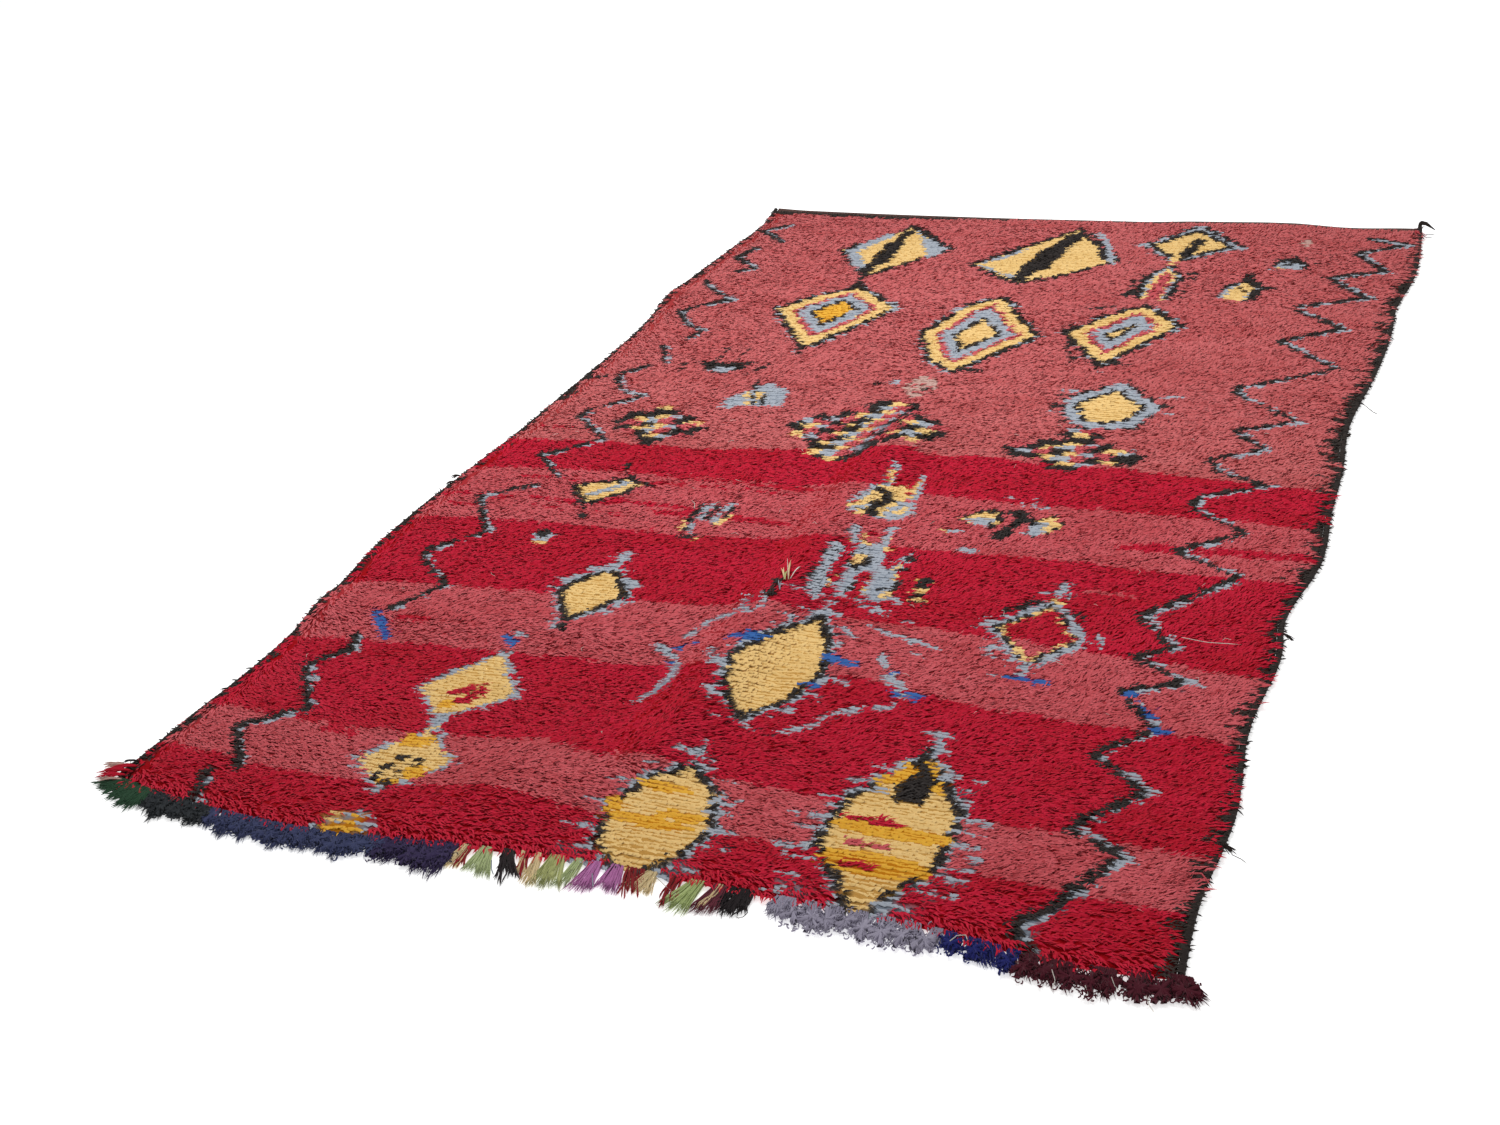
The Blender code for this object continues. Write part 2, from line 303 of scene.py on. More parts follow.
# Nested rings of a lozenge: how far in from the outline each ends, and its yarn
CORE = 9  # deeper than the middle of any lozenge
DARK_RING = ((0.013, BLACK), (CORE, GOLD))
TWO_RINGS = ((0.010, MIST), (CORE, GOLD))
THREE_RINGS = ((0.010, MIST), (0.020, BLACK), (CORE, GOLD))
FIVE_RINGS = ((0.017, OUTLINE), (0.045, GOLD), (0.052, ROSE), (0.079, MIST), (0.085, BLACK))
LOZENGES = (  # its corners, its rings
    (((-0.387, 1.178), (-0.225, 1.028), (-0.387, 0.819), (-0.518, 0.984)), DARK_RING),
    (((0.033, 1.206), (0.188, 0.993), (-0.011, 0.805), (-0.168, 0.933)), DARK_RING),
    (((0.315, 1.25), (0.445, 1.11), (0.3, 0.99), (0.19, 1.1)),
     ((0.009, OUTLINE), (0.02, MIST), (0.03, BLACK), (CORE, GOLD))),
    (((-0.378, 0.785), (-0.23, 0.641), (-0.37, 0.376), (-0.532, 0.606)),
     (*FIVE_RINGS, (CORE, SAFFRON))),
    (((-0.013, 0.735), (0.125, 0.545), (-0.008, 0.322), (-0.085, 0.372), (-0.155, 0.52), (-0.095, 0.68)),
     (*FIVE_RINGS, (CORE, GOLD))),
    (((0.295, 0.753), (0.402, 0.634), (0.276, 0.388), (0.143, 0.575)), (*FIVE_RINGS, (CORE, GOLD))),
    (((0.34, 0.352), (0.447, 0.24), (0.404, 0.145), (0.34, 0.12), (0.276, 0.145), (0.236, 0.24)),
     ((0.004, BLACK), (0.03, MIST), (0.036, BLACK), (CORE, GOLD))),
    (((0.43, -0.466), (0.517, -0.59), (0.435, -0.704), (0.333, -0.585)),
     ((0.018, MIST), (0.023, BLACK), (0.029, GOLD), (CORE, None))),
    (((-0.335, -0.525), (-0.25, -0.635), (-0.33, -0.76), (-0.415, -0.64)), THREE_RINGS),
    (((-0.385, -0.83), (-0.292, -0.95), (-0.39, -1.045), (-0.478, -0.965)), TWO_RINGS),
    (((-0.385, -1.05), (-0.287, -1.13), (-0.38, -1.225), (-0.463, -1.155)), TWO_RINGS),
    (((-0.37, -1.255), (-0.322, -1.31), (-0.375, -1.37), (-0.438, -1.315)),
     ((0.011, MIST), (CORE, SAFFRON))),
    (((0.08, -0.585), (0.14, -0.69), (0.158, -0.78), (0.125, -0.87), (0.062, -0.935),
      (0.0, -0.86), (-0.022, -0.77), (0.02, -0.68)), THREE_RINGS),
    (((0.055, -1.02), (0.122, -1.085), (0.15, -1.16), (0.135, -1.23), (0.06, -1.305),
      (-0.015, -1.24), (-0.043, -1.16), (-0.01, -1.08)), ((0.009, MIST), (0.018, BLACK), (CORE, GOLD))),
    (((0.37, -0.9), (0.47, -1.05), (0.468, -1.16), (0.385, -1.3), (0.27, -1.15), (0.275, -1.05)),
     ((0.009, MIST), (0.019, BLACK), (CORE, GOLD))),
)
# What is knotted over the lozenges and beside them
PATCHES = (  # x, y, half width, half height, yarn
    (0.03, -1.095, 0.055, 0.01, SAFFRON),
    (0.085, -1.15, 0.04, 0.01, SAFFRON),
    (0.04, -1.172, 0.075, 0.012, SAFFRON),
    (-0.02, -1.15, 0.012, 0.02, SAFFRON),
    (0.375, -1.103, 0.09, 0.014, SAFFRON),
    (0.375, -1.172, 0.08, 0.023, SAFFRON),
    (0.34, -1.088, 0.045, 0.004, CRIMSON),
    (0.345, -1.137, 0.035, 0.004, ROSE),
    (0.35, -1.18, 0.03, 0.005, CRIMSON),
    (-0.385, -1.09, 0.03, 0.018, SAFFRON),
    (-0.345, -1.165, 0.022, 0.014, SAFFRON),
    (-0.37, -1.195, 0.02, 0.008, SAFFRON),
    (-0.395, -0.995, 0.014, 0.008, SAFFRON),
    (-0.4, -1.285, 0.02, 0.008, GOLD),
    (-0.36, -1.14, 0.008, 0.006, BLACK),
    (-0.385, -1.135, 0.008, 0.005, BLACK),
    (-0.395, -1.165, 0.009, 0.012, BLACK),
    (-0.37, -1.17, 0.006, 0.01, BLACK),
    (-0.4, -1.19, 0.005, 0.012, BLACK),
    (-0.375, -1.195, 0.007, 0.006, BLACK),
    (-0.052, 0.258, 0.032, 0.056, CREAM),
    (-0.036, 0.24, 0.008, 0.01, CHARCOAL),
    (-0.11, 0.27, 0.01, 0.016, MIST),
    (-0.147, 0.252, 0.01, 0.01, BLACK),
    (0.568, 1.155, 0.018, 0.018, CREAM),
    (0.245, -0.36, 0.014, 0.012, MIST),
    (-0.52, -0.48, 0.022, 0.018, MIST),
    (-0.512, -0.5, 0.016, 0.008, GOLD),
    (-0.524, -0.468, 0.012, 0.014, BLACK),
)
FIGURES = (  # in millimetres: yarn, x and y of each corner, clockwise
    (MIST, -354, 1130, -243, 1028, -272, 962),
    (SAFFRON, 362, -925, 376, -925, 422, -1008, 312, -1008),
    (BLACK, 363, -976, 394, -970, 398, -1027, 350, -1037, 344, -1002),
    (BLACK, -575, 302, -450, 308, -458, 272, -485, 247, -540, 247),
    (MIST, -525, 275, -480, 285, -480, 258, -530, 252),
    (MIST, -370, 220, -310, 185, -298, 115, -425, 90, -445, 120),
    (BLACK, 560, 1070, 590, 1035, 590, 990, 515, 990, 515, 1040),
    (MIST, 540, 1040, 578, 1020, 585, 985, 520, 985),
    (BLACK, 430, 865, 480, 935, 530, 870, 505, 780, 430, 800),
    (MIST, 436, 845, 470, 905, 508, 870, 490, 785, 436, 795),
    (GOLD, 450, 850, 476, 900, 504, 868, 488, 782, 448, 790),
    (BLACK, 296, 985, 334, 930, 340, 860, 338, 780, 256, 780, 252, 860, 264, 940),
    (MIST, 295, 975, 332, 920, 330, 785, 266, 785, 265, 920),
    (GOLD, 297, 960, 324, 915, 322, 775, 275, 775, 276, 915),
    (ROSE, 298, 940, 314, 900, 313, 775, 285, 775, 287, 900),
    (BLACK, -572, -285, -458, -226, -412, -263, -500, -354, -520, -350),
    (GOLD, -556, -287, -460, -240, -428, -264, -502, -338),
    (GOLD, 18, -190, 60, -165, 85, -200, 95, -255, 45, -300, -12, -295),
    (MIST, 70, -222, 106, -212, 114, -262, 86, -286, 60, -276),
    (MIST, 46, -380, 104, -372, 120, -440, 140, -548, 72, -552, 57, -455),
    (BLACK, 66, -402, 90, -408, 95, -435, 82, -463, 62, -456, 56, -430),
    (GOLD, 70, -412, 83, -416, 85, -436, 78, -452, 68, -446, 65, -428),
    (BLACK, 188, -265, 215, -222, 255, -215, 275, -245, 262, -282, 215, -272),
    (GOLD, 196, -258, 225, -222, 255, -222, 268, -262, 215, -266),
    (MIST, 215, -258, 232, -240, 258, -240, 252, -278),
    (BLACK, 318, -245, 350, -210, 380, -240, 376, -268, 335, -298),
    (GOLD, 325, -240, 352, -212, 375, -245, 368, -268, 345, -292),
    (MIST, 318, -248, 340, -238, 355, -272, 335, -298, 315, -285),
)
STROKES = (  # in millimetres: yarn, width, x and y of each point
    (MIST, 30, -425, 1100, -481, 988, -408, 870),
    (BLACK, 24, -383, 1130, -388, 1030),
    (BLACK, 42, -388, 1040, -385, 930),
    (BLACK, 26, -385, 940, -400, 860),
    (BLACK, 12, -395, 840, -385, 760),
    (BLACK, 40, 40, 1150, 8, 1030),
    (BLACK, 56, 10, 1040, -5, 930),
    (BLACK, 32, -5, 940, -15, 850),
    (MIST, 18, 85, 1170, 125, 1090, 165, 980),
    (BLACK, 12, 75, 1150, 110, 1090, 140, 1000),
    (MIST, 14, -128, 952, -98, 985, -58, 1045),
    (BLACK, 10, -105, 995, -75, 1040),
    (MIST, 11, -130, 932, -35, 856),
    (BLACK, 24, 330, 1145, 312, 1030),
    (GOLD, 20, 300, 1030, 298, 990),
    (BLACK, 12, -375, 420, -370, 370),
    (MIST, 14, -70, 370, -15, 325),
    (BLACK, 8, -60, 390, -35, 345),
    (BLACK, 14, 10, 355, 38, 352),
    (BLACK, 10, 180, 505, 215, 425),
    (BLACK, 12, 180, 690, 230, 715),
    (BLACK, 12, 335, 425, 300, 430),
    (BLACK, 10, -535, 310, -535, 372),
    (BLACK, 9, -492, 310, -488, 378),
    (BLACK, 9, -602, 290, -590, 245),
    (BLACK, 9, -412, 305, -435, 258),
    (BLACK, 8, -395, 195, -400, 225),
    (GOLD, 10, -395, 165, -372, 105),
    (GOLD, 10, -370, 175, -360, 130),
    (BLACK, 6, -385, 165, -365, 115),
    (BLACK, 6, -355, 160, -345, 120),
    (BLACK, 14, -810, 185, -715, 185),
    (BLACK, 16, 480, 945, 480, 915),
    (BLACK, 10, 478, 905, 500, 895),
    (BLACK, 10, 474, 860, 486, 845),
    (BLACK, 9, 545, 1020, 556, 1010),
    (GOLD, 7, 532, 995, 545, 990),
    (BLACK, 10, 515, 875, 545, 865),
    (BLACK, 9, 595, 1030, 625, 1030),
    (BLACK, 12, 240, 915, 262, 910),
    (BLACK, 18, 240, 800, 262, 815),
    (BLACK, 10, -497, -190, -475, -232),
    (BLACK, 9, -500, -345, -483, -402),
    (MIST, 16, -510, -311, -460, -254),
    (MIST, 20, -263, -306, -258, -362),
    (MIST, 20, -228, -298, -236, -358),
    (BLACK, 14, -276, -318, -279, -372),
    (BLACK, 10, -246, -306, -250, -350),
    (BLACK, 14, -215, -310, -222, -372),
    (GOLD, 9, -210, -338, -221, -374),
    (GOLD, 11, -285, -370, -272, -410),
    (BLACK, 7, -274, -388, -262, -426),
    (ROSE, 16, -256, -374, -242, -394),
    (MIST, 12, -266, -380, -258, -412),
    (BLACK, 8, -254, -426, -238, -412),
    (GOLD, 7, -248, -437, -234, -424),
    (MIST, 22, 24, -106, 32, -168),
    (GOLD, 10, 27, -128, 31, -166),
    (MIST, 20, 80, -124, 94, -215),
    (GOLD, 10, 79, -142, 84, -196),
    (MIST, 17, -4, -268, 18, -196),
    (MIST, 13, 4, -288, 30, -262),
    (GOLD, 8, -4, -280, 6, -262),
    (BLACK, 19, 36, -206, 54, -222, 38, -262, 44, -288),
    (GOLD, 12, 94, -234, 86, -264),
    (MIST, 8, 50, -296, 98, -282),
    (BLACK, 34, 290, -222, 312, -240),
    (BLACK, 24, 302, -245, 278, -312),
    (GOLD, 10, 182, -300, 192, -304),
    (MIST, 10, 262, -165, 270, -185),
    (MIST, 10, 285, -180, 290, -200),
    (MIST, 10, 310, -165, 312, -190),
    (MIST, 10, 338, -170, 330, -195),
    (MIST, 10, 195, -300, 215, -300),
    (MIST, 20, 33, -344, 47, -392),
    (MIST, 22, 92, -322, 100, -388),
    (MIST, 18, 48, -390, 100, -386),
    (GOLD, 8, 54, -350, 60, -376, 78, -374, 82, -346),
    (CRIMSON, 9, 69, -348, 69, -362),
    (GOLD, 6, 36, -372, 44, -404),
    (GOLD, 6, 104, -346, 114, -400),
    (MIST, 28, 27, -414, 30, -500, 40, -560),
    (BLACK, 6, 20, -428, 40, -426),
    (BLACK, 6, 14, -445, 14, -510, 20, -545),
    (GOLD, 7, 47, -470, 56, -520),
    (CRIMSON, 20, 103, -478, 104, -548),
    (CRIMSON, 9, 50, -435, 50, -500),
    (GOLD, 8, 116, -478, 116, -546),
    (MIST, 30, 130, -462, 144, -545),
    (MIST, 22, 152, -402, 144, -460, 156, -532),
    (BLACK, 10, 157, -392, 162, -412),
    (GOLD, 8, 150, -430, 152, -446),
    (BLACK, 9, 160, -448, 163, -458),
    (GOLD, 9, 159, -468, 161, -484),
    (BLACK, 8, 166, -492, 167, -512),
    (GOLD, 9, 160, -522, 158, -542),
    (BLACK, 7, 140, -515, 148, -512),
    (BLACK, 5, 94, -500, 96, -540),
    (MIST, 8, -10, -562, 105, -556, 190, -546),
    (MIST, 9, 130, -566, 160, -574, 186, -590),
    (GOLD, 12, 192, -474, 220, -478),
    (BLACK, 24, 204, -480, 206, -505, 212, -535),
    (GOLD, 12, 198, -505, 216, -503),
    (GOLD, 12, 206, -535, 228, -530),
    (MIST, 26, -335, -505, -335, -555),
    (MIST, 11, -360, -515, -315, -520),
    (MIST, 18, -375, -565, -350, -560),
    (MIST, 18, -410, -612, -385, -600),
    (MIST, 18, -262, -605, -290, -585),
    (MIST, 18, -252, -650, -275, -665),
    (MIST, 16, -270, -690, -300, -700),
    (MIST, 20, -345, -755, -328, -770),
    (BLACK, 12, -325, -735, -320, -768),
    (COBALT, 18, -400, -805, -380, -818),
    (MIST, 14, -370, -800, -385, -795),
    (CRIMSON, 13, -405, -970, -385, -950, -370, -972, -385, -985),
    (CRIMSON, 9, -365, -935, -360, -960),
    (MIST, 26, -385, -1030, -385, -1065),
    (GOLD, 14, -385, -1060, -380, -1075),
    (COBALT, 20, -665, -795, -612, -845),
    (COBALT, 16, 600, -712, 612, -720),
    (COBALT, 14, 628, -745, 640, -755),
    (COBALT, 16, 655, -785, 668, -790),
    (MIST, 20, 430, -435, 432, -470),
    (MIST, 11, 400, -468, 462, -462),
    (GOLD, 14, 425, -480, 445, -490),
    (BLACK, 11, 404, -490, 362, -536),
    (BLACK, 9, 462, -502, 488, -536),
    (MIST, 12, 340, -560, 330, -590),
    (MIST, 12, 515, -570, 530, -595),
    (MIST, 16, 365, -645, 375, -660),
    (COBALT, 14, 405, -712, 475, -713),
    (MIST, 10, 395, -710, 410, -715),
    (MIST, 18, 75, -575, 78, -600),
    (MIST, 12, 35, -610, 110, -605),
    (MIST, 14, 20, -640, 40, -650),
    (MIST, 16, 125, -640, 150, -665),
    (COBALT, 26, -20, -728, 10, -715),
    (COBALT, 20, 135, -725, 178, -738),
    (MIST, 13, 160, -780, 190, -790),
    (COBALT, 14, 130, -805, 146, -812),
    (MIST, 11, 140, -830, 160, -835),
    (MIST, 14, 130, -870, 105, -885),
    (MIST, 20, -30, -790, -10, -810),
    (MIST, 14, -10, -870, 10, -885),
    (MIST, 10, 15, -925, 45, -930),
    (MIST, 10, 80, -925, 95, -935),
    (MIST, 13, -60, -590, -50, -640, -30, -650),
    (MIST, 12, -25, -590, -20, -640),
    (BLACK, 10, -25, -555, -15, -600),
    (MIST, 13, -60, -655, -95, -680, -110, -730),
    (COBALT, 13, -85, -745, -110, -765),
    (MIST, 20, -135, -775, -105, -790, -80, -835, -95, -895),
    (COBALT, 10, -112, -803, -100, -806),
    (MIST, 7, -95, -905, -125, -935),
    (MIST, 10, -50, -765, -30, -790),
    (MIST, 9, 120, -560, 145, -585, 180, -588),
    (MIST, 9, 180, -540, 190, -555),
    (MIST, 8, 205, -600, 225, -602),
    (MIST, 12, 165, -625, 215, -645, 290, -665),
    (MIST, 11, 255, -685, 280, -692),
    (MIST, 13, 215, -705, 230, -735, 250, -745),
    (COBALT, 10, 232, -742, 248, -745),
    (MIST, 20, 240, -755, 270, -780),
    (COBALT, 20, 270, -795, 308, -797),
    (MIST, 12, 285, -800, 275, -830, 225, -850, 195, -870),
    (MIST, 18, 195, -870, 180, -905),
    (MIST, 11, 175, -905, 135, -935),
    (MIST, 12, 45, -985, 48, -1030),
    (MIST, 10, 15, -1020, 75, -1018),
    (MIST, 9, 345, -875, 385, -880),
    (MIST, 20, 370, -880, 372, -925),
    (BLACK, 13, 360, -918, 364, -945, 384, -985),
)
COMBS = (  # x of each hook's root and tip, y of the hooks, yarn
    (0.262, 0.232, (0.19, 0.285), MIST),
    (0.425, 0.462, (0.18, 0.22, 0.29), MIST),
    (0.25, 0.234, (0.215, 0.262), BLACK),
    (0.262, 0.234, (0.79, 0.818, 0.846, 0.874, 0.905), BLACK),
    (0.33, 0.364, (0.79, 0.83, 0.868, 0.905, 0.935), BLACK),
    (0.405, 0.46, (-0.97, -1.24), MIST),
    (0.44, 0.452, (-0.995, -1.015), MIST),
    (0.455, 0.492, (-1.055, -1.08, -1.205), MIST),
    (0.462, 0.5, (-1.105, -1.128, -1.15, -1.175), MIST),
    (0.34, 0.3, (-0.97, -1.02), MIST),
    (0.3, 0.28, (-1.01, -1.245), MIST),
    (0.285, 0.262, (-1.05, -1.07, -1.225), MIST),
    (0.28, 0.226, (-1.095, -1.165), MIST),
    (0.285, 0.24, (-1.12, -1.185, -1.25), MIST),
    (0.085, 0.125, (-1.06, -1.265), MIST),
    (0.115, 0.15, (-1.105, -1.13, -1.245), MIST),
    (0.135, 0.175, (-1.165, -1.2), MIST),
    (0.0, -0.025, (-1.06, -1.27), MIST),
    (-0.015, -0.055, (-1.1, -1.25), MIST),
    (-0.03, -0.066, (-1.155, -1.205), MIST),
)
HOOK_WIDTH = 0.010  # of each hook of a comb
# Stepped lozenges of small cells: a dark edge, and the cycle of yarns inside
CHEQUERS = (  # x, y, half width, half height, how far the rows shift as y grows
    (-0.518, -0.012, 0.116, 0.088, -0.19),
    (-0.092, 0.043, 0.172, 0.158, 0.20),
    (0.320, 0.020, 0.148, 0.078, 0.0),
    (0.320, 0.098, 0.055, 0.040, 0.0),
)
CHEQUER_CELL = (0.030, 0.021)
CHEQUER_CYCLE = (GOLD, MIST, ROSE, BLACK)

# Where the pile parts along the folds
PARTINGS = (  # x and y of one end, x and y of the other, reach to either side, strength
    (-0.022, -1.02, -0.016, 0.14, 0.050, 0.26),
    (-0.020, 0.72, -0.020, 0.90, 0.050, 0.20),
    (-0.820, 0.700, 0.820, 0.725, 0.040, 0.08),
    (-0.700, -0.745, -0.480, -0.750, 0.040, 0.20),
    (-0.600, -0.165, -0.060, -0.165, 0.035, 0.15),
)
SHADES = (  # where painted shade darkens the wool: x and y of one end, x and y of the other, reach, strength
    (-0.040, -1.02, -0.034, 0.14, 0.032, 0.42),
    (-0.075, -0.60, -0.060, -0.12, 0.040, 0.14),
    (-0.700, -0.735, -0.500, -0.742, 0.022, 0.40),
    (-0.560, -0.170, -0.080, -0.170, 0.014, 0.30),
    (-0.800, 0.705, -0.560, 0.708, 0.014, 0.35),
    (-0.210, 0.710, -0.120, 0.712, 0.016, 0.35),
    (-0.330, 0.250, -0.280, 0.245, 0.014, 0.35),
    (0.030, 0.290, 0.160, 0.270, 0.020, 0.35),
    (-0.340, -0.900, -0.240, -0.960, 0.022, 0.30),
    (-0.640, -1.180, -0.200, -1.190, 0.240, 0.16),
    (0.560, 0.350, 0.500, 1.000, 0.420, 0.12),
)
NAP = (0.42, 0.30)  # the angle at which the pile lies midway across, and how it grows with x
NAP_PITCHES = (0.24, 0.07)  # how far apart the places are between which it wanders
NAP_TURN = 0.35  # how far it wanders there, in radians
PARTING_PUSH = 2.6  # how hard a parting of full strength turns it
EDGE_PUSHES = (  # how far in from the left, right, near and far edge it turns, push along X and along Y
    (0.045, -2.1, -1.0),
    (0.045, 1.6, 0.0),
    (0.035, 0.0, -1.7),
    (0.030, 0.0, 2.0),
)
LEVEL = 0.75  # how far blunt ends lie along their row, rather than with the nap
SEEN = 0.55  # how far along an end of yarn the part that shows is


def srgb(red, green, blue):
    """A colour as a screen shows it, each part from 0 to 255, as the light it stands for."""
    parts = (red / 255, green / 255, blue / 255)
    return tuple(part / 12.92 if part <= 0.04045 else ((part + 0.055) / 1.055) ** 2.4 for part in parts)


# How the rug lies


def looked_up(table, at, column, curved=True):
    """The column's values at some places, joined from row to row by a smooth curve or straight lines."""
    rows = np.array(table, float)
    at = np.asarray(at, float)
    above = np.clip(np.searchsorted(rows[:, 0], at, side="right"), 1, len(rows) - 1)
    before = rows[np.clip(above - 2, 0, len(rows) - 1)]
    low = rows[above - 1]
    high = rows[above]
    after = rows[np.clip(above + 1, 0, len(rows) - 1)]
    span = high[..., 0] - low[..., 0]
    share = np.clip((at - low[..., 0]) / span, 0, 1)
    if not curved:
        return low[..., column] + (high[..., column] - low[..., column]) * share
    leaving = (high[..., column] - before[..., column]) / (high[..., 0] - before[..., 0]) * span
    arriving = (after[..., column] - low[..., column]) / (after[..., 0] - low[..., 0]) * span
    rise = share * share * (3 - 2 * share)
    return (
        low[..., column] * (1 - rise)
        + high[..., column] * rise
        + leaving * share * (1 - share) ** 2
        - arriving * share * share * (1 - share)
    )


def left_edge(y):
    """x of the left edge, which never passes the solids' side."""
    return np.maximum(looked_up(SIDE_EDGES, y, 1), -SIDE_TIP)


def right_edge(y):
    """x of the right edge."""
    return looked_up(SIDE_EDGES, y, 2)


def near_edge(x):
    """y at which the field ends and the fringe starts."""
    return looked_up(END_EDGES, x, 1)


def far_edge(x):
    """y of the far edge, which never passes the solids' end."""
    return np.minimum(looked_up(END_EDGES, x, 2), END_TIP)


def field_end(x):
    """y at which the field ends and the end web starts."""
    return far_edge(x) - WEB_DEPTH


def fringe_tip(x):
    """y of the line along which the fringe ends."""
    return looked_up(END_EDGES, x, 3)


def insets(x, y):
    """How far each place is in from the left, right, near and far edges of the field."""
    return x - left_edge(y), right_edge(y) - x, y - near_edge(x), field_end(x) - y


def line_offset(x, y, x0, y0, x1, y1):
    """From the nearest point of a straight line to each place, along X and along Y."""
    length_squared = (x1 - x0) ** 2 + (y1 - y0) ** 2
    share = np.clip(((x - x0) * (x1 - x0) + (y - y0) * (y1 - y0)) / length_squared, 0, 1)
    return x - x0 - share * (x1 - x0), y - y0 - share * (y1 - y0)


def line_reach(x, y, *line):
    """How far each place is from a straight line."""
    return np.hypot(*line_offset(x, y, *line))


def lie(x, y):
    """How high the rug's underside is above the floor."""
    height = np.zeros(np.broadcast(x, y).shape)
    for *line, rise, reach in RISES:
        share = np.minimum(line_reach(x, y, *line) / reach, 1)
        height += rise * (0.5 + 0.5 * np.cos(math.pi * share))
    return height


def pile_height(x, y):
    """From the rug's underside to the top of its pile, which is lower along the rim."""
    share = np.clip(np.minimum.reduce(insets(x, y)) / RIM_REACH, 0, 1)
    return RIM_TOP + (PILE_TOP - RIM_TOP) * np.sin(math.pi / 2 * share)


FOOT_REACH = 0.03  # how far in from both ends the foot of the pile comes to its full height
FOOT_HEIGHT = (0.34, 0.32)  # its height at the ends, and what it gains, as shares of the pile's height


def ground_height(x, y):
    """From the rug's underside to the top of the dense foot of the pile."""
    _, _, near, far = insets(x, y)
    share = np.clip(np.minimum(near, far) / FOOT_REACH, 0, 1)
    return (FOOT_HEIGHT[0] + FOOT_HEIGHT[1] * share) * pile_height(x, y)


FLOOR_REACH = 2  # how far from the middle of the floor the random values go


def wander(x, y, pitch, chance):
    """Smooth random values from -1 to 1 over the floor, whose bumps are about a pitch apart."""
    count = int(2 * FLOOR_REACH / pitch) + 3
    cells = chance.uniform(-1, 1, (count, count))
    across = (x + FLOOR_REACH) / pitch
    along = (y + FLOOR_REACH) / pitch
    column = across.astype(int)
    row = along.astype(int)
    u = across - column
    v = along - row
    u = u * u * (3 - 2 * u)
    v = v * v * (3 - 2 * v)
    low = cells[row, column] * (1 - u) + cells[row, column + 1] * u
    high = cells[row + 1, column] * (1 - u) + cells[row + 1, column + 1] * u
    return low * (1 - v) + high * v


# The chart

# How ragged an edge of each kind is, as a share of the random length of each of its knots
STRIPE_ROUGH = 0.5
OUTLINE_ROUGH = 1.6
RING_ROUGH = 0.7
STROKE_ROUGH = 0.8
BAND_ROUGH = 3
INSIDE = 0.0001  # how deep a knot that the roughness takes in is at least
STEPPED_OUT = 0.0030  # a knot of a two-yarn outline with a longer random length than this is mist
LEFT_OUT = -0.0035  # a knot of a cream fleck with a shorter one than this is left out


def metres(row):
    """Points in metres, from a row of x and y in millimetres."""
    return [(x / 1000, y / 1000) for x, y in zip(row[::2], row[1::2])]


def stroke_reach(x, y, points):
    """How far each place is from a bent line."""
    reaches = [line_reach(x, y, *start, *end) for start, end in zip(points, points[1:])]
    return np.minimum.reduce(reaches)


def inset_of(x, y, corners):
    """How far each place is inside a figure whose corners go clockwise round it."""
    depths = []
    for (x0, y0), (x1, y1) in zip(corners, corners[1:] + corners[:1]):
        across = (x - x0) * (y1 - y0) - (y - y0) * (x1 - x0)
        depths.append(across / math.hypot(x1 - x0, y1 - y0))
    return np.minimum.reduce(depths)


def ringed(yarn, x, y, ragged):
    """Knots the lozenges ring by ring."""
    for corners, rings in LOZENGES:
        inset = inset_of(x, y, corners)
        taken = inset + OUTLINE_ROUGH * ragged > 0
        depth = np.where(taken, np.maximum(inset + RING_ROUGH * ragged, INSIDE), -1)
        start = 0
        for end, colour in rings:
            if colour is not None:
                knots = (depth > start) & (depth <= end)
                outlined = np.where(ragged[knots] > STEPPED_OUT, MIST, BLACK)
                yarn[knots] = outlined if colour == OUTLINE else colour
            start = end


def chequered(yarn, x, y):
    """Knots the stepped lozenges of small cells, whose dark edge has a gap in every third row."""
    across, along = CHEQUER_CELL
    for middle_x, middle_y, half_width, half_height, shift in CHEQUERS:
        row = np.round((y - middle_y) / along)
        shifted = x - middle_x - shift * row * along
        half = 0.5 * (row % 2)
        column = np.round(shifted / across - half)
        depth = 1 - np.abs((column + half) * across) / half_width - np.abs(row * along) / half_height
        ring = np.floor(depth * half_width / across)
        inner = np.array(CHEQUER_CYCLE)[(column + 2 * row).astype(int) % len(CHEQUER_CYCLE)]
        found = np.where((ring == 0) & (row % 3 != 1), BLACK, inner)
        yarn[depth >= 0] = found[depth >= 0]


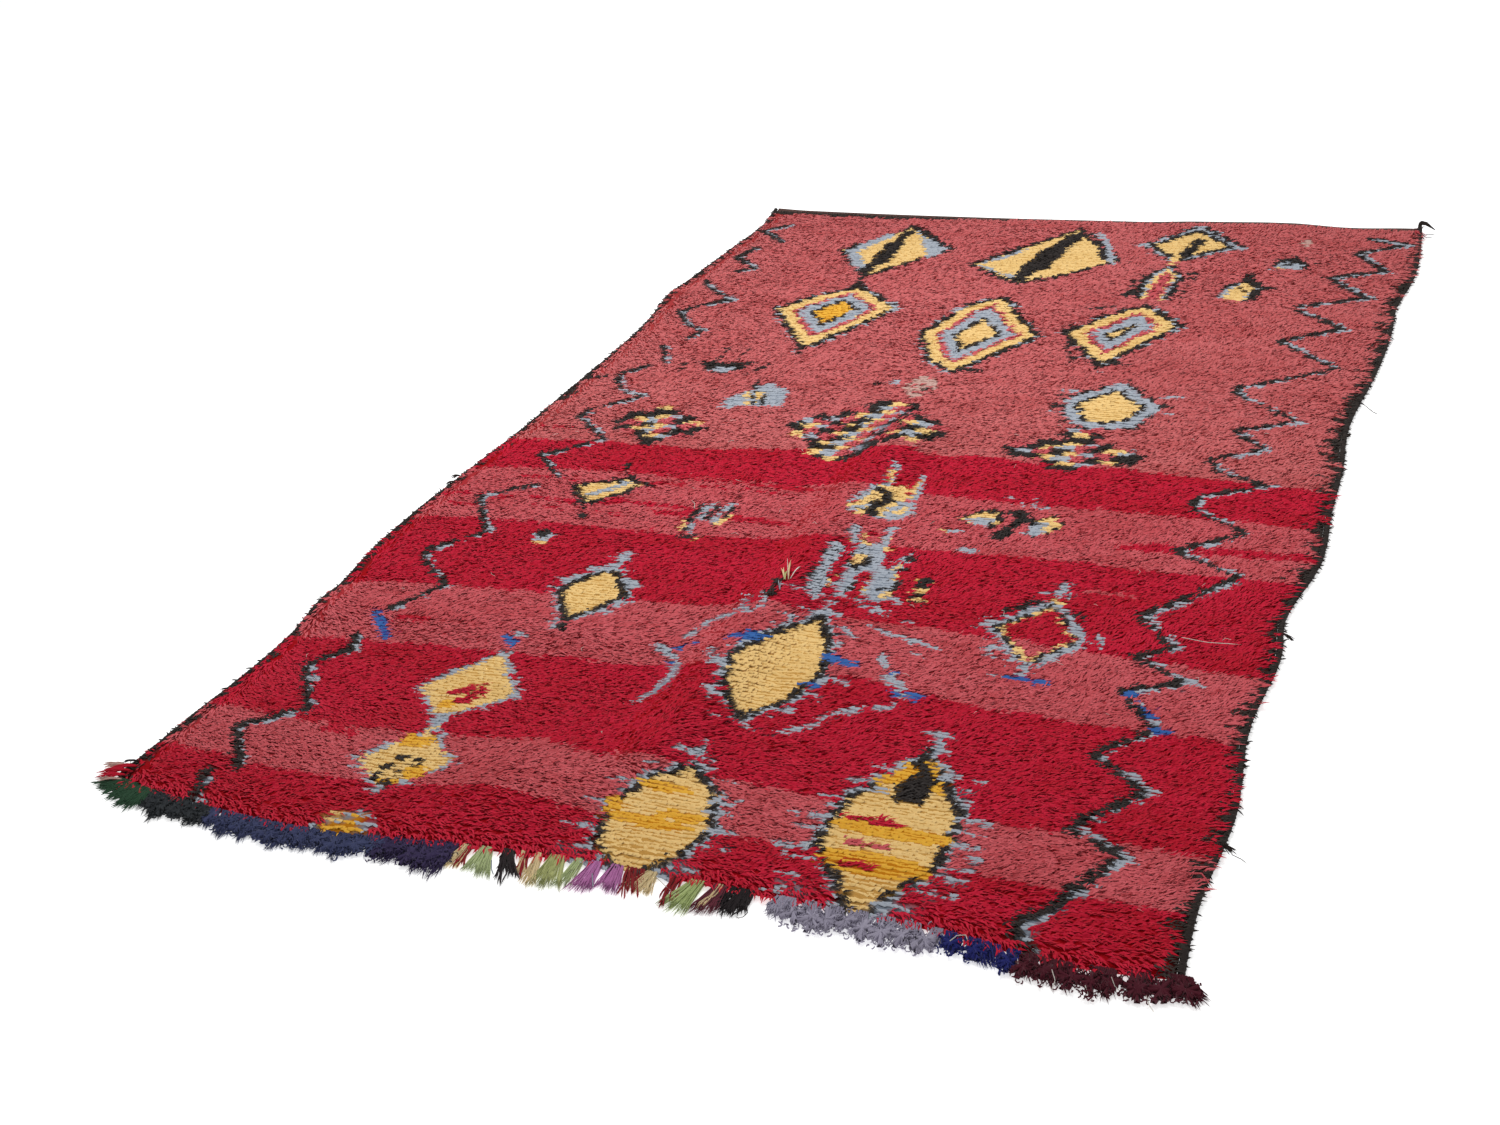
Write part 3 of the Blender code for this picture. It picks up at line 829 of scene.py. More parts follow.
def charted(x, y, ragged):
    """The yarn of each knot. ragged is a small random length for each, to roughen the edges."""
    y = y - CHART_MIDDLE
    yarn = np.full(x.shape, CRIMSON)
    for colour, line in reversed(STRIPES):
        yarn[y > np.interp(x, STRIPE_X, line) + ragged * STRIPE_ROUGH] = colour
    for *line, width, colour in STREAKS:
        yarn[line_reach(x, y, *line) < width / 2 + ragged] = colour
    spare = np.clip(np.abs(y - ZIGZAG_PLAIN[0]) - ZIGZAG_PLAIN[1], 0, ZIGZAG_SPARE)
    for turns in ZIGZAGS:
        for start, end, colour, rough, growth in ZIGZAG_SIDES:
            moved = [(px + (start + end) / 2, py) for px, py in metres(turns)]
            broad = (1 + growth * spare) * (end - start)
            yarn[stroke_reach(x, y, moved) < broad / 2 + ragged * rough] = colour
    ringed(yarn, x, y, ragged)
    for px, py, across, along, colour in PATCHES:
        reach = np.hypot((x - px) / across, (y - py) / along)
        kept = ragged > LEFT_OUT if colour == CREAM else True
        yarn[(reach < 1 + ragged / max(across, along)) & kept] = colour
    for colour, *corners in FIGURES:
        yarn[inset_of(x, y, metres(corners)) > -ragged] = colour
    for colour, width, *points in STROKES:
        reach = stroke_reach(x, y, metres(points))
        yarn[reach < width / 1000 / 2 + ragged * STROKE_ROUGH] = colour
    for root, tip, rows, colour in COMBS:
        for row in rows:
            hook = line_reach(x, y, root, row, tip, row)
            yarn[hook < HOOK_WIDTH / 2 + ragged * STROKE_ROUGH] = colour
    chequered(yarn, x + ragged, y + ragged)
    y = y + CHART_MIDDLE
    rough = BAND_ROUGH * ragged
    band = looked_up(FAR_END_SHADE, x, 1, False)
    # Charcoal knots along the left of the far end stand for painted shade where it curls
    yarn[(band > 0) & (y > field_end(x) - band + ragged)] = CHARCOAL
    yarn[x < left_edge(y) + CORD_RADIUS + looked_up(BANDS, y, 1) + rough] = CHARCOAL
    yarn[x > right_edge(y) - CORD_RADIUS - looked_up(BANDS, y, 2) + rough] = CHARCOAL
    return yarn


# Making meshes


def rug_piece(name, mesh, replaces=()):
    """Puts a mesh in the scene as a piece of the rug, in the finish that its yarn takes."""
    piece = bpy.data.objects.new(name, mesh)
    bpy.context.scene.collection.objects.link(piece)
    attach(piece, "root")
    if replaces:
        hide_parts(*replaces)
    return piece


def mesh_of(name, points, faces, uvs, material):
    """A smooth mesh from its points, its faces as tuples or rows of numbers, and a UV for each corner."""
    mesh = bpy.data.meshes.new(name)
    sizes = np.concatenate([np.full(len(group), group.shape[1]) for group in faces])
    corners = np.concatenate([group.ravel() for group in faces])
    mesh.vertices.add(len(points))
    mesh.vertices.foreach_set("co", points.astype(np.float32).ravel())
    mesh.loops.add(len(corners))
    mesh.loops.foreach_set("vertex_index", corners.astype(np.int32))
    mesh.polygons.add(len(sizes))
    mesh.polygons.foreach_set("loop_start", (np.cumsum(sizes) - sizes).astype(np.int32))
    mesh.polygons.foreach_set("use_smooth", np.ones(len(sizes), bool))
    layer = mesh.uv_layers.new(name="OFBake")
    layer.uv.foreach_set("vector", uvs.astype(np.float32).ravel())
    mesh.materials.append(material)
    mesh.update(calc_edges=True)
    return mesh


def noted(mesh, label, values):
    """Notes a number at each point of a mesh, for its material."""
    layer = mesh.attributes.new(label, "FLOAT", "POINT")
    layer.data.foreach_set("value", values.astype(np.float32))


def marked(mesh, reach, tones):
    """Notes at each point of like shapes how far along its end of yarn it is, and the tone of that end."""
    noted(mesh, "tip", np.tile(reach, len(tones)))
    noted(mesh, "tone", np.repeat(tones, len(reach)))
    return mesh


def cell_uvs(count, within):
    """Corner UVs of many like shapes: one set laid again and again, each in its own cell of a grid."""
    side = math.ceil(math.sqrt(count))
    cell = np.stack([np.arange(count) % side, np.arange(count) // side], axis=1)
    return ((cell[:, None, :] + 0.1 + 0.8 * within[None, :, :]) / side).reshape(-1, 2)


def unit(vectors):
    """The same directions, each one long."""
    return vectors / np.maximum(np.linalg.norm(vectors, axis=-1, keepdims=True), 1e-9)


def sideways(paths, lift=0.0):
    """Across each path, level but for a small lift, which serves where a path stands upright."""
    heading = paths[:, -1] - paths[:, 0]
    return unit(np.stack([-heading[:, 1], heading[:, 0], np.full(len(paths), lift)], axis=1))


def resampled(rows, points):
    """The same lines with another number of points along each."""
    at = np.linspace(0, rows.shape[1] - 1, points)
    low = np.minimum(at.astype(int), rows.shape[1] - 2)
    share = (at - low)[None, :, None]
    return rows[:, low] * (1 - share) + rows[:, low + 1] * share


YARN_SIDES = 3
UPRIGHT_LIFT = 1e-6


def yarn_mesh(name, paths, radii, tones, material):
    """Ends of yarn: each follows its path, has a radius at each point, and closes to a tip."""
    count, stations, _ = paths.shape
    sides = YARN_SIDES
    rings = stations - 1
    along = unit(np.gradient(paths, axis=1))
    over = unit(np.cross(along, sideways(paths, UPRIGHT_LIFT)[:, None, :]))
    out = np.cross(over, along)
    turn = math.pi / 2 + 2 * math.pi * np.arange(sides) / sides
    spokes = (
        out[:, :rings, None, :] * np.cos(turn)[None, None, :, None]
        + over[:, :rings, None, :] * np.sin(turn)[None, None, :, None]
    )
    points = paths[:, :rings, None, :] + spokes * radii[:, :rings, None, None]
    points = np.concatenate([points.reshape(count, -1, 3), paths[:, -1:, :]], axis=1)
    size = rings * sides + 1

    ring, side = np.divmod(np.arange((rings - 1) * sides), sides)
    low = ring * sides
    high = low + sides
    after = (side + 1) % sides
    quads = np.stack([low + side, low + after, high + after, high + side], axis=1)
    last = (rings - 1) * sides
    edge = np.arange(sides)
    tips = np.stack([last + edge, last + (edge + 1) % sides, np.full(sides, size - 1)], axis=1)
    offsets = (np.arange(count) * size)[:, None, None]
    faces = ((quads[None] + offsets).reshape(-1, 4), (tips[None] + offsets).reshape(-1, 3))

    quad_u = np.stack([side, side + 1, side + 1, side], axis=1) / sides
    quad_v = np.stack([ring, ring, ring + 1, ring + 1], axis=1) / rings
    tip_u = np.stack([edge, edge + 1, edge + 0.5], axis=1) / sides
    tip_v = np.tile([(rings - 1) / rings, (rings - 1) / rings, 1.0], (sides, 1))
    within = [np.stack(pair, axis=2).reshape(-1, 2) for pair in ((quad_u, quad_v), (tip_u, tip_v))]
    uvs = np.concatenate([cell_uvs(count, corners) for corners in within])
    mesh = mesh_of(name, points.reshape(-1, 3), faces, uvs, material)
    return marked(mesh, np.append(np.repeat(np.arange(rings) / rings, sides), 1.0), tones)


RIDGE = 0.8  # how far the middle of an end of pile stands over its sides, as a share of its radius


def pile_mesh(name, paths, radii, tones, material):
    """Blunt ends of pile: each is a narrow ridge, open below, that starts and closes at a point."""
    count, stations, _ = paths.shape
    rings = stations - 2
    middle = paths[:, 1:-1]
    broad = radii[:, 1:-1, None]
    drop = broad * (0, 0, RIDGE)
    spread = broad * sideways(paths)[:, None, :]
    ring = np.stack([middle + spread - drop, middle, middle - spread - drop], axis=2)
    points = np.concatenate([paths[:, :1], ring.reshape(count, -1, 3), paths[:, -1:]], axis=1)
    size = 3 * rings + 2

    left = 1 + 3 * np.arange(rings)
    ridge = left + 1
    right = left + 2
    last = size - 1
    tris = np.array(
        [
            (0, ridge[0], left[0]),
            (0, right[0], ridge[0]),
            (ridge[-1], last, left[-1]),
            (right[-1], last, ridge[-1]),
        ]
    )
    quads = np.concatenate(
        [
            np.stack([ridge[:-1], ridge[1:], left[1:], left[:-1]], axis=1),
            np.stack([right[:-1], right[1:], ridge[1:], ridge[:-1]], axis=1),
        ]
    )
    offsets = (np.arange(count) * size)[:, None, None]
    faces = ((tris[None] + offsets).reshape(-1, 3), (quads[None] + offsets).reshape(-1, 4))
    reach = np.concatenate([[0.0], np.repeat(np.arange(1, rings + 1) / (rings + 1), 3), [1.0]])
    over = np.concatenate([[0.5], np.tile([1.0, 0.5, 0.0], rings), [0.5]])
    spots = np.stack([reach, over], axis=1)
    uvs = np.concatenate([cell_uvs(count, spots[part].reshape(-1, 2)) for part in (tris, quads)])
    return marked(mesh_of(name, points.reshape(-1, 3), faces, uvs, material), reach, tones)


def blade_mesh(name, paths, radii, rolls, tones, material):
    """Frayed ends of pile: each is a flat blade, turned about its length, with a point at both ends."""
    count = len(paths)
    beside = sideways(paths) * np.cos(rolls)[:, None]
    beside[:, 2] = np.sin(rolls)
    spread = beside * radii[:, 1:2]
    points = np.stack([paths[:, 0], paths[:, 1] + spread, paths[:, 1] - spread, paths[:, 2]], axis=1)
    tris = np.array([(0, 2, 1), (1, 2, 3)])
    faces = ((tris[None] + 4 * np.arange(count)[:, None, None]).reshape(-1, 3),)
    reach = np.array([0.0, 0.5, 0.5, 1.0])
    spots = np.stack([reach, (0.5, 1.0, 0.0, 0.5)], axis=1)
    uvs = cell_uvs(count, spots[tris].reshape(-1, 2))
    return marked(mesh_of(name, points.reshape(-1, 3), faces, uvs, material), reach, tones)


# Finishes


class Wire:
    """What comes out of a node of a material. Sums and products of wires add Math nodes."""

    def __init__(self, finish, socket):
        self.finish = finish
        self.socket = socket

    def maths(self, operation, first, second):
        """A Math node of two wires or numbers."""
        return self.finish.add("ShaderNodeMath", {"operation": operation}, {0: first, 1: second})

    def __add__(self, other):
        return self.maths("ADD", self, other)

    def __radd__(self, other):
        return self.maths("ADD", other, self)

    def __sub__(self, other):
        return self.maths("SUBTRACT", self, other)

    def __rsub__(self, other):
        return self.maths("SUBTRACT", other, self)

    def __mul__(self, other):
        return self.maths("MULTIPLY", self, other)

    def __rmul__(self, other):
        return self.maths("MULTIPLY", other, self)


class Finish:
    """A material and its nodes."""

    def __init__(self, name):
        self.material = bpy.data.materials.new(name)
        self.material.use_nodes = True
        self.tree = self.material.node_tree
        self.shader = self.tree.nodes["Principled BSDF"]

    def add(self, kind, settings=None, inputs=None, output=0):
        """Adds a node, with its settings first, then the values or wires of its inputs."""
        node = self.tree.nodes.new(kind)
        for name, value in (settings or {}).items():
            setattr(node, name, value)
        for name, value in (inputs or {}).items():
            self.feed(node.inputs[name], value)
        return Wire(self, node.outputs[output])

    def feed(self, socket, value):
        """Links a wire to a socket, or sets the socket to a value."""
        if isinstance(value, Wire):
            self.tree.links.new(value.socket, socket)
        else:
            socket.default_value = value

    def dress(self, inputs):
        """Feeds the shader's own sockets."""
        for name, value in inputs.items():
            self.feed(self.shader.inputs[name], value)

    def place(self):
        """Where each point of the surface is, in metres."""
        return self.add("ShaderNodeTexCoord", output="Object")

    def noise(self, scale, detail=2.0):
        """Noise from 0 to 1 whose grains are about one over the scale across."""
        return self.add(
            "ShaderNodeTexNoise", None, {"Vector": self.place(), "Scale": scale, "Detail": detail}
        )

    def mix(self, first, second, share, blend="MIX"):
        """A colour between two, by a share from 0 to 1, or their blend."""
        settings = {"data_type": "RGBA", "blend_type": blend}
        return self.add("ShaderNodeMix", settings, {0: share, 6: first, 7: second}, 2)

    def between(self, first, second, share):
        """A colour between two plain ones, by a share from 0 to 1."""
        return self.mix((*first, 1.0), (*second, 1.0), share)

    def mark(self, label, output="Fac"):
        """What the mesh notes at each point under a label."""
        return self.add("ShaderNodeAttribute", {"attribute_name": label}, output=output)

    def relief(self, height, depth):
        """A Bump node from heights of 0 to 1, and the depth in metres that they stand for."""
        return self.add(
            "ShaderNodeBump", None, {"Height": height, "Distance": depth, "Strength": 1.0}, output="Normal"
        )


# Scale and detail of the noise in the finishes
MOTTLE = (7.0, 3.0)
FLECK = (420.0, 2.0)
FOOT_MOTTLE = (260.0, 3.0)
WEAVE_MOTTLE = (160.0, 3.0)
# How much each of these brings wool from its painted shade towards its full colour
# TIP_LIGHT lifts each end from painted shade at its root to its full colour at its tip
TIP_LIGHT = 0.34
TONE_LIGHT = 0.60
MOTTLE_LIGHT = 0.16
FLECK_LIGHT = 0.26
WOOL_SHINE = 0.15
FOOT_SHINE = 0.1
SHEEN_ROUGHNESS = 0.6
WAVE_PERIOD = 0.314  # from rib to rib of a Wave texture whose scale is 1


def wool(name, shade, full, sheen=0.07, depth=0.0006):
    """Spun wool, mixed between its colour in painted shade and its full colour: painted shade darkens it at
    its roots, and each end of yarn is a little lighter or darker than the next.
    """
    finish = Finish(name)
    mottle = finish.noise(*MOTTLE)
    fleck = finish.noise(*FLECK)
    # The tone mark carries random tone, and also painted shade along folds, in wrinkles and on lower rows
    light = (
        TIP_LIGHT * finish.mark("tip")
        + TONE_LIGHT * finish.mark("tone")
        + MOTTLE_LIGHT * mottle
        + FLECK_LIGHT * fleck
    )
    finish.dress(
        {
            "Base Color": finish.between(shade, full, light),
            "Roughness": 0.82 + 0.16 * fleck,
            "Normal": finish.relief(fleck, depth),
            "Sheen Weight": sheen,
            "Sheen Roughness": SHEEN_ROUGHNESS,
            "Specular IOR Level": WOOL_SHINE,
        }
    )
    return finish.material


def weave(name, shade, full, rib, depth):
    """A flat weave of wool, ribbed along X at the given pitch."""
    finish = Finish(name)
    across = finish.add(
        "ShaderNodeTexWave",
        {"wave_type": "BANDS", "bands_direction": "Y", "wave_profile": "SIN"},
        {"Vector": finish.place(), "Scale": WAVE_PERIOD / rib, "Distortion": 0.8, "Detail": 1.0},
        output="Fac",
    )
    mottle = finish.noise(*WEAVE_MOTTLE)
    height = 0.7 * across + 0.3 * mottle
    finish.dress(
        {
            # The colour follows the height: painted shade in the grooves between the ribs, with random
            # mottle
            "Base Color": finish.between(shade, full, 0.2 + 0.5 * height + 0.2 * mottle),
            "Roughness": 0.84 + 0.14 * mottle,
            "Normal": finish.relief(height, depth),
            "Specular IOR Level": WOOL_SHINE,
        }
    )
    return finish.material


def shaded(colour, share, depth=1.5):
    """The same yarn's colour, deeper and darker, for painted shade: where light has passed through much of
    the wool, as at the roots of its ends and between them.
    """
    return tuple(share * max(colour) * (part / max(colour)) ** depth for part in colour)


def yarn_colour(sizes, name):
    """The colour of a yarn, as plain numbers."""
    return tuple(getattr(sizes, name))


# The knotted field


def guide_lines(x):
    """The lines that the rows of knots follow at some places, from the near end to the far one."""
    stripes = [np.interp(x, STRIPE_X, line) + CHART_MIDDLE for _, line in reversed(STRIPES)]
    return np.stack([near_edge(x), *stripes, field_end(x)])


FAR_ROWS = 1.1  # how much further apart the rows of the far field are
FIELD_INSET = 1.6 * CORD_RADIUS  # from a side edge to the first and last knots of a row
KNOT_ROUNDS = 5  # of fitting, which bring the rows between the curved edges
KNOT_JITTER = (0.14, 0.12)  # how far a knot is out of place, as shares of its width and of a row


def knot_places(row_pitch, column_pitch, chance):
    """x and y of every knot."""
    middle = guide_lines(np.zeros(1))[:, 0]
    gaps = []
    shares = []
    for gap, width in enumerate(np.diff(middle)):
        rows = max(1, round(width / row_pitch / (FAR_ROWS if gap == len(middle) - 2 else 1)))
        gaps += [gap] * rows
        shares += [(row + 0.5) / rows for row in range(rows)]
    columns = round(FLAT_SIZE[0] / column_pitch)
    stagger = chance.uniform(-0.5, 0.5, len(gaps))[:, None]
    across = (np.arange(columns)[None, :] + 0.5 + stagger) / columns
    order = np.arange(len(gaps))
    y = np.linspace(-END_TIP, END_TIP, len(gaps))[:, None] + 0 * across
    for _ in range(KNOT_ROUNDS):
        left = left_edge(y) + FIELD_INSET
        right = right_edge(y) - FIELD_INSET
        x = left + (right - left) * across
        lines = guide_lines(x)
        low = lines[gaps, order]
        high = lines[[gap + 1 for gap in gaps], order]
        y = low + (high - low) * np.array(shares)[:, None]
    x = x + chance.uniform(-KNOT_JITTER[0], KNOT_JITTER[0], x.shape) * column_pitch
    y = y + chance.uniform(-KNOT_JITTER[1], KNOT_JITTER[1], x.shape) * row_pitch
    return x.ravel(), y.ravel()


def nap_of(x, y, chance):
    """Which way each knot's yarn lies, as a unit length along X and Y."""
    turn = NAP[0] + NAP[1] * x
    for pitch in NAP_PITCHES:
        turn = turn + NAP_TURN * wander(x, y, pitch, chance)
    along_x = np.cos(turn)
    along_y = np.sin(turn)
    for *line, reach, strength in PARTINGS:
        away_x, away_y = line_offset(x, y, *line)
        distance = np.hypot(away_x, away_y) + 1e-6
        push = PARTING_PUSH * strength * np.clip(1 - distance / reach, 0, 1)
        along_x += push * away_x / distance
        along_y += push * away_y / distance
    for inset, (reach, push_x, push_y) in zip(insets(x, y), EDGE_PUSHES):
        push = np.clip(1 - inset / reach, 0, 1)
        along_x += push_x * push
        along_y += push_y * push
    length = np.hypot(along_x, along_y)
    return along_x / length, along_y / length


UNRULY = (0.9, 0.10)  # how much more the ends stray at the near edge, and how far in from it
# Beside the left cord the ends are shorter: their share of the length at the edge, how far in from it they
# gain a whole length, and their least share
SHORTENED = (0.30, 0.035, 0.5)
SHORTEST = 0.78  # the least share of the pile's length elsewhere
ROOT_DEPTH = 0.0028  # how deep in the foot of the pile an end starts
TOP_GAP = 0.7  # how far under the pile's top the middle of an end stays, as a share of the yarn's radius
LOWERED = 0.20  # how much lower every other row of blunt ends lies
MIDDLE_HEIGHTS = (0.74, 0.96)  # of an end's middle, as shares of the height over the foot
TIP_HEIGHTS = (0.40, 0.98)  # of its tip
THICKNESS = (0.85, 1.15)  # of an end of yarn, as a share of the usual one


def pile_ends(x, y, along_x, along_y, lowered, sizes, kind, chance):
    """Paths and radii of the ends of yarn of each knot."""
    _, habit, long, broad = kind
    if habit is BLUNT:
        row_x = (1 - LEVEL) * along_x + LEVEL
        row_y = (1 - LEVEL) * along_y
        size = np.hypot(row_x, row_y)
        x = x + (along_x - row_x / size) * SEEN * sizes.pile_length
        y = y + (along_y - row_y / size) * SEEN * sizes.pile_length
        along_x = row_x / size
        along_y = row_y / size
    ends = habit.ends
    x, y, along_x, along_y = (np.repeat(values, ends) for values in (x, y, along_x, along_y))
    count = len(x)
    side = np.tile((np.arange(ends) + 0.5) / ends - 0.5, count // ends) * sizes.knot_width
    unruly = 1 + UNRULY[0] * np.clip(1 - (y - near_edge(x)) / UNRULY[1], 0, 1)
    turn = chance.normal(0, habit.stray, count) * unruly
    turned_x = along_x * np.cos(turn) - along_y * np.sin(turn)
    turned_y = along_x * np.sin(turn) + along_y * np.cos(turn)
    length = long * sizes.pile_length * chance.uniform(SHORTEST, habit.longest, count)
    length *= np.clip(SHORTENED[0] + (x - left_edge(y)) / SHORTENED[1], SHORTENED[2], 1)
    root_x = x + side
    root_y = y + chance.uniform(-1, 1, count) * habit.scatter * sizes.knot_row
    foot = ground_height(x, y) - ROOT_DEPTH
    base = lie(x, y) + foot
    top = pile_height(x, y) - foot - TOP_GAP * sizes.yarn_radius
    if habit is BLUNT:
        top = top * (1 - LOWERED * np.repeat(lowered, ends))
    middle_height = top * chance.uniform(*MIDDLE_HEIGHTS, count)
    tip_height = top * chance.uniform(*TIP_HEIGHTS, count)
    points = []
    for share, of_middle, of_tip, _ in habit.profile:
        place_x = root_x + turned_x * length * share
        place_y = root_y + turned_y * length * share
        height = of_middle * middle_height + of_tip * tip_height
        points.append([place_x, place_y, base + height])
    paths = np.array(points).transpose(2, 0, 1)
    widths = np.array([width for *_, width in habit.profile])
    radii = widths[None, :] * broad * sizes.yarn_radius * chance.uniform(*THICKNESS, (count, 1))
    return paths, radii


def shade_of(x, y):
    """How much painted shade darkens the wool, along the folds and over a few wide patches."""
    dark = np.zeros(np.broadcast(x, y).shape)
    for *line, reach, strength in SHADES:
        away = line_reach(x, y, *line)
        dark = np.maximum(dark, strength * np.clip(1.3 * (1 - away / reach), 0, 1))
    return dark


# The tone of a plain knot, and how much each of these changes it
PLAIN_TONE = 0.78
STREAK_TONE = 0.34
# The wrinkle term is painted shade in small wrinkles of the pile, and the shade term painted shade along the
# SHADES
WRINKLE_AND_WISP_DARKENING = 1.1
UNEVEN_TONE = 0.16
SHADE_TONE = 1.3
# How the tone wanders: how far it is drawn out along X, its pitch along Y, and how much of it is cut off
STREAK = (0.35, 0.05)
WRINKLE = (0.22, 0.024, 0.25)
WISP = (0.30, 0.011, 0.30)


def knot_tones_and_shade(x, y, chance):
    """How light the wool of each knot is: random streaks and unevenness, with painted shade in small
    wrinkles and along the SHADES. Wisps are darker towards the right.
    """
    streak = wander(x * STREAK[0], y, STREAK[1], chance)
    wrinkle_shade = np.clip(wander(x * WRINKLE[0], y, WRINKLE[1], chance) - WRINKLE[2], 0, 1)
    wisp = np.clip(wander(x * WISP[0], y, WISP[1], chance) - WISP[2], 0, 1) * np.clip(0.6 + x, 0.4, 1)
    tone = PLAIN_TONE + STREAK_TONE * streak - WRINKLE_AND_WISP_DARKENING * wrinkle_shade - WRINKLE_AND_WISP_DARKENING * wisp
    return tone + chance.normal(0, UNEVEN_TONE, len(x)) - SHADE_TONE * shade_of(x, y)


PILE_SEED = 11
MOST_TRIANGLES = 190_000  # in one piece
RUN = 0.05  # the length of a run of knots whose edges in the pattern step together
RUN_SHIFT = 0.37  # how far the runs of each row are shifted, as a share of a run
STEP = 0.0055  # the most that such an edge steps
STEP_ROWS = 300  # after how many rows and runs the steps come again
KNOT_STEP = 0.0025  # the most that one knot steps besides
BLADE_WIDTH = 0.64  # half the width of a frayed end, as a share of its yarn's radius
ROLL = 0.38  # how far frayed ends turn about their length, in radians


def add_pile(sizes):
    """Ties the knots of the field, one piece for each yarn."""
    chance = np.random.default_rng(PILE_SEED)
    x, y = knot_places(sizes.knot_row, sizes.knot_width, chance)
    along_x, along_y = nap_of(x, y, chance)
    row = np.round((y + END_TIP) / sizes.knot_row).astype(int)
    run = np.round((x + SIDE_TIP) / RUN + RUN_SHIFT * row).astype(int)
    steps = chance.uniform(-STEP, STEP, (STEP_ROWS, STEP_ROWS))
    ragged = steps[row % STEP_ROWS, run % STEP_ROWS] + chance.uniform(-KNOT_STEP, KNOT_STEP, len(x))
    seen = SEEN * sizes.pile_length
    yarn = charted(x + along_x * seen, y + along_y * seen, ragged)
    lowered = np.where(row % 2 == 0, 1.0, 0.0)
    tone = knot_tones_and_shade(x, y, chance)
    for number, kind in enumerate(YARNS):
        name, habit, _, _ = kind
        mine = np.flatnonzero(yarn == number)
        parts = math.ceil(len(mine) * habit.ends * habit.triangles / MOST_TRIANGLES)
        colour = yarn_colour(sizes, name)
        finish = wool(name + "_wool", shaded(colour, habit.share, habit.depth), colour)
        for part, knots in enumerate(np.array_split(mine, parts)):
            paths, radii = pile_ends(
                x[knots], y[knots], along_x[knots], along_y[knots], lowered[knots], sizes, kind, chance
            )
            label = f"pile_{name}" if parts == 1 else f"pile_{name}_{part + 1}"
            # Every other, lower, row of blunt ends is darkened as painted shade
            tones = np.repeat(tone[knots] - habit.dimmed * lowered[knots], habit.ends)
            tones = np.clip(tones + chance.normal(0, habit.uneven, len(tones)), 0, 1)
            if habit is BLUNT:
                mesh = pile_mesh(label, paths, radii, tones, finish)
            else:
                rolls = chance.normal(0, ROLL, len(tones))
                mesh = blade_mesh(label, paths, BLADE_WIDTH * radii, rolls, tones, finish)
            rug_piece(label, mesh)


# The cloth under the pile, the cords and the end web

SHEET_INSET = 2 * CORD_RADIUS + CLEARANCE  # from a side edge to the cloth beside its cord
SHEET_ROUNDS = 6  # of fitting, which bring a sheet's grid onto the curved edges
SHEET_UV = (0.46, 0.96, 0.02)  # width and length of each side of a sheet in UV, and the gap round it
RIM_UV = (0.985, 0.995)  # from where to where its rim goes up


def place(across, along, near, far):
    """x and y between the side cords and two end lines, from shares of the width and length."""
    y = -END_TIP + 2 * END_TIP * along
    for _ in range(SHEET_ROUNDS):
        left = left_edge(y) + SHEET_INSET
        right = right_edge(y) - SHEET_INSET
        x = left + (right - left) * across
        y = near(x) + (far(x) - near(x)) * along
    return x, y


def slab_mesh(name, columns, rows, near, far, thickness, material):
    """A closed sheet over a grid between the side cords and two end lines, lying as the rug does."""
    across, along = np.meshgrid(np.linspace(0, 1, columns), np.linspace(0, 1, rows))
    x, y = place(across, along, near, far)
    low = lie(x, y)
    high = low + thickness(x, y)
    points = np.concatenate([np.stack([x, y, z], axis=2).reshape(-1, 3) for z in (low, high)])
    top = rows * columns
    index = np.arange(top).reshape(rows, columns)
    corners = (index[:-1, :-1], index[:-1, 1:], index[1:, 1:], index[1:, :-1])
    under = np.stack([corner.ravel() for corner in corners], axis=1)
    rim = np.concatenate([index[0, :-1], index[:-1, -1], index[-1, :0:-1], index[:0:-1, 0]])
    ahead = np.roll(rim, -1)
    wall = np.stack([rim, ahead, ahead + top, rim + top], axis=1)
    quads = np.concatenate([under + top, under[:, ::-1], wall])

    wide, long, gap = SHEET_UV
    flat = np.stack([across.ravel() * wide + gap, along.ravel() * long + gap], axis=1)
    uvs = np.concatenate([flat + (0.5, 0.0), flat])[quads.ravel()]
    count = len(rim)
    share = np.arange(count) / count
    step = 1 / count
    wall_u = np.stack([share, share + step, share + step, share], axis=1)
    wall_v = np.tile(np.repeat(RIM_UV, 2), (count, 1))
    uvs[-4 * count :] = np.stack([wall_u, wall_v], axis=2).reshape(-1, 2)
    return mesh_of(name, points, (quads,), uvs, material)


GROUND_GRID = (97, 153)
WEB_GRID = (161, 7)
RIB = 0.004  # from rib to rib of the end web


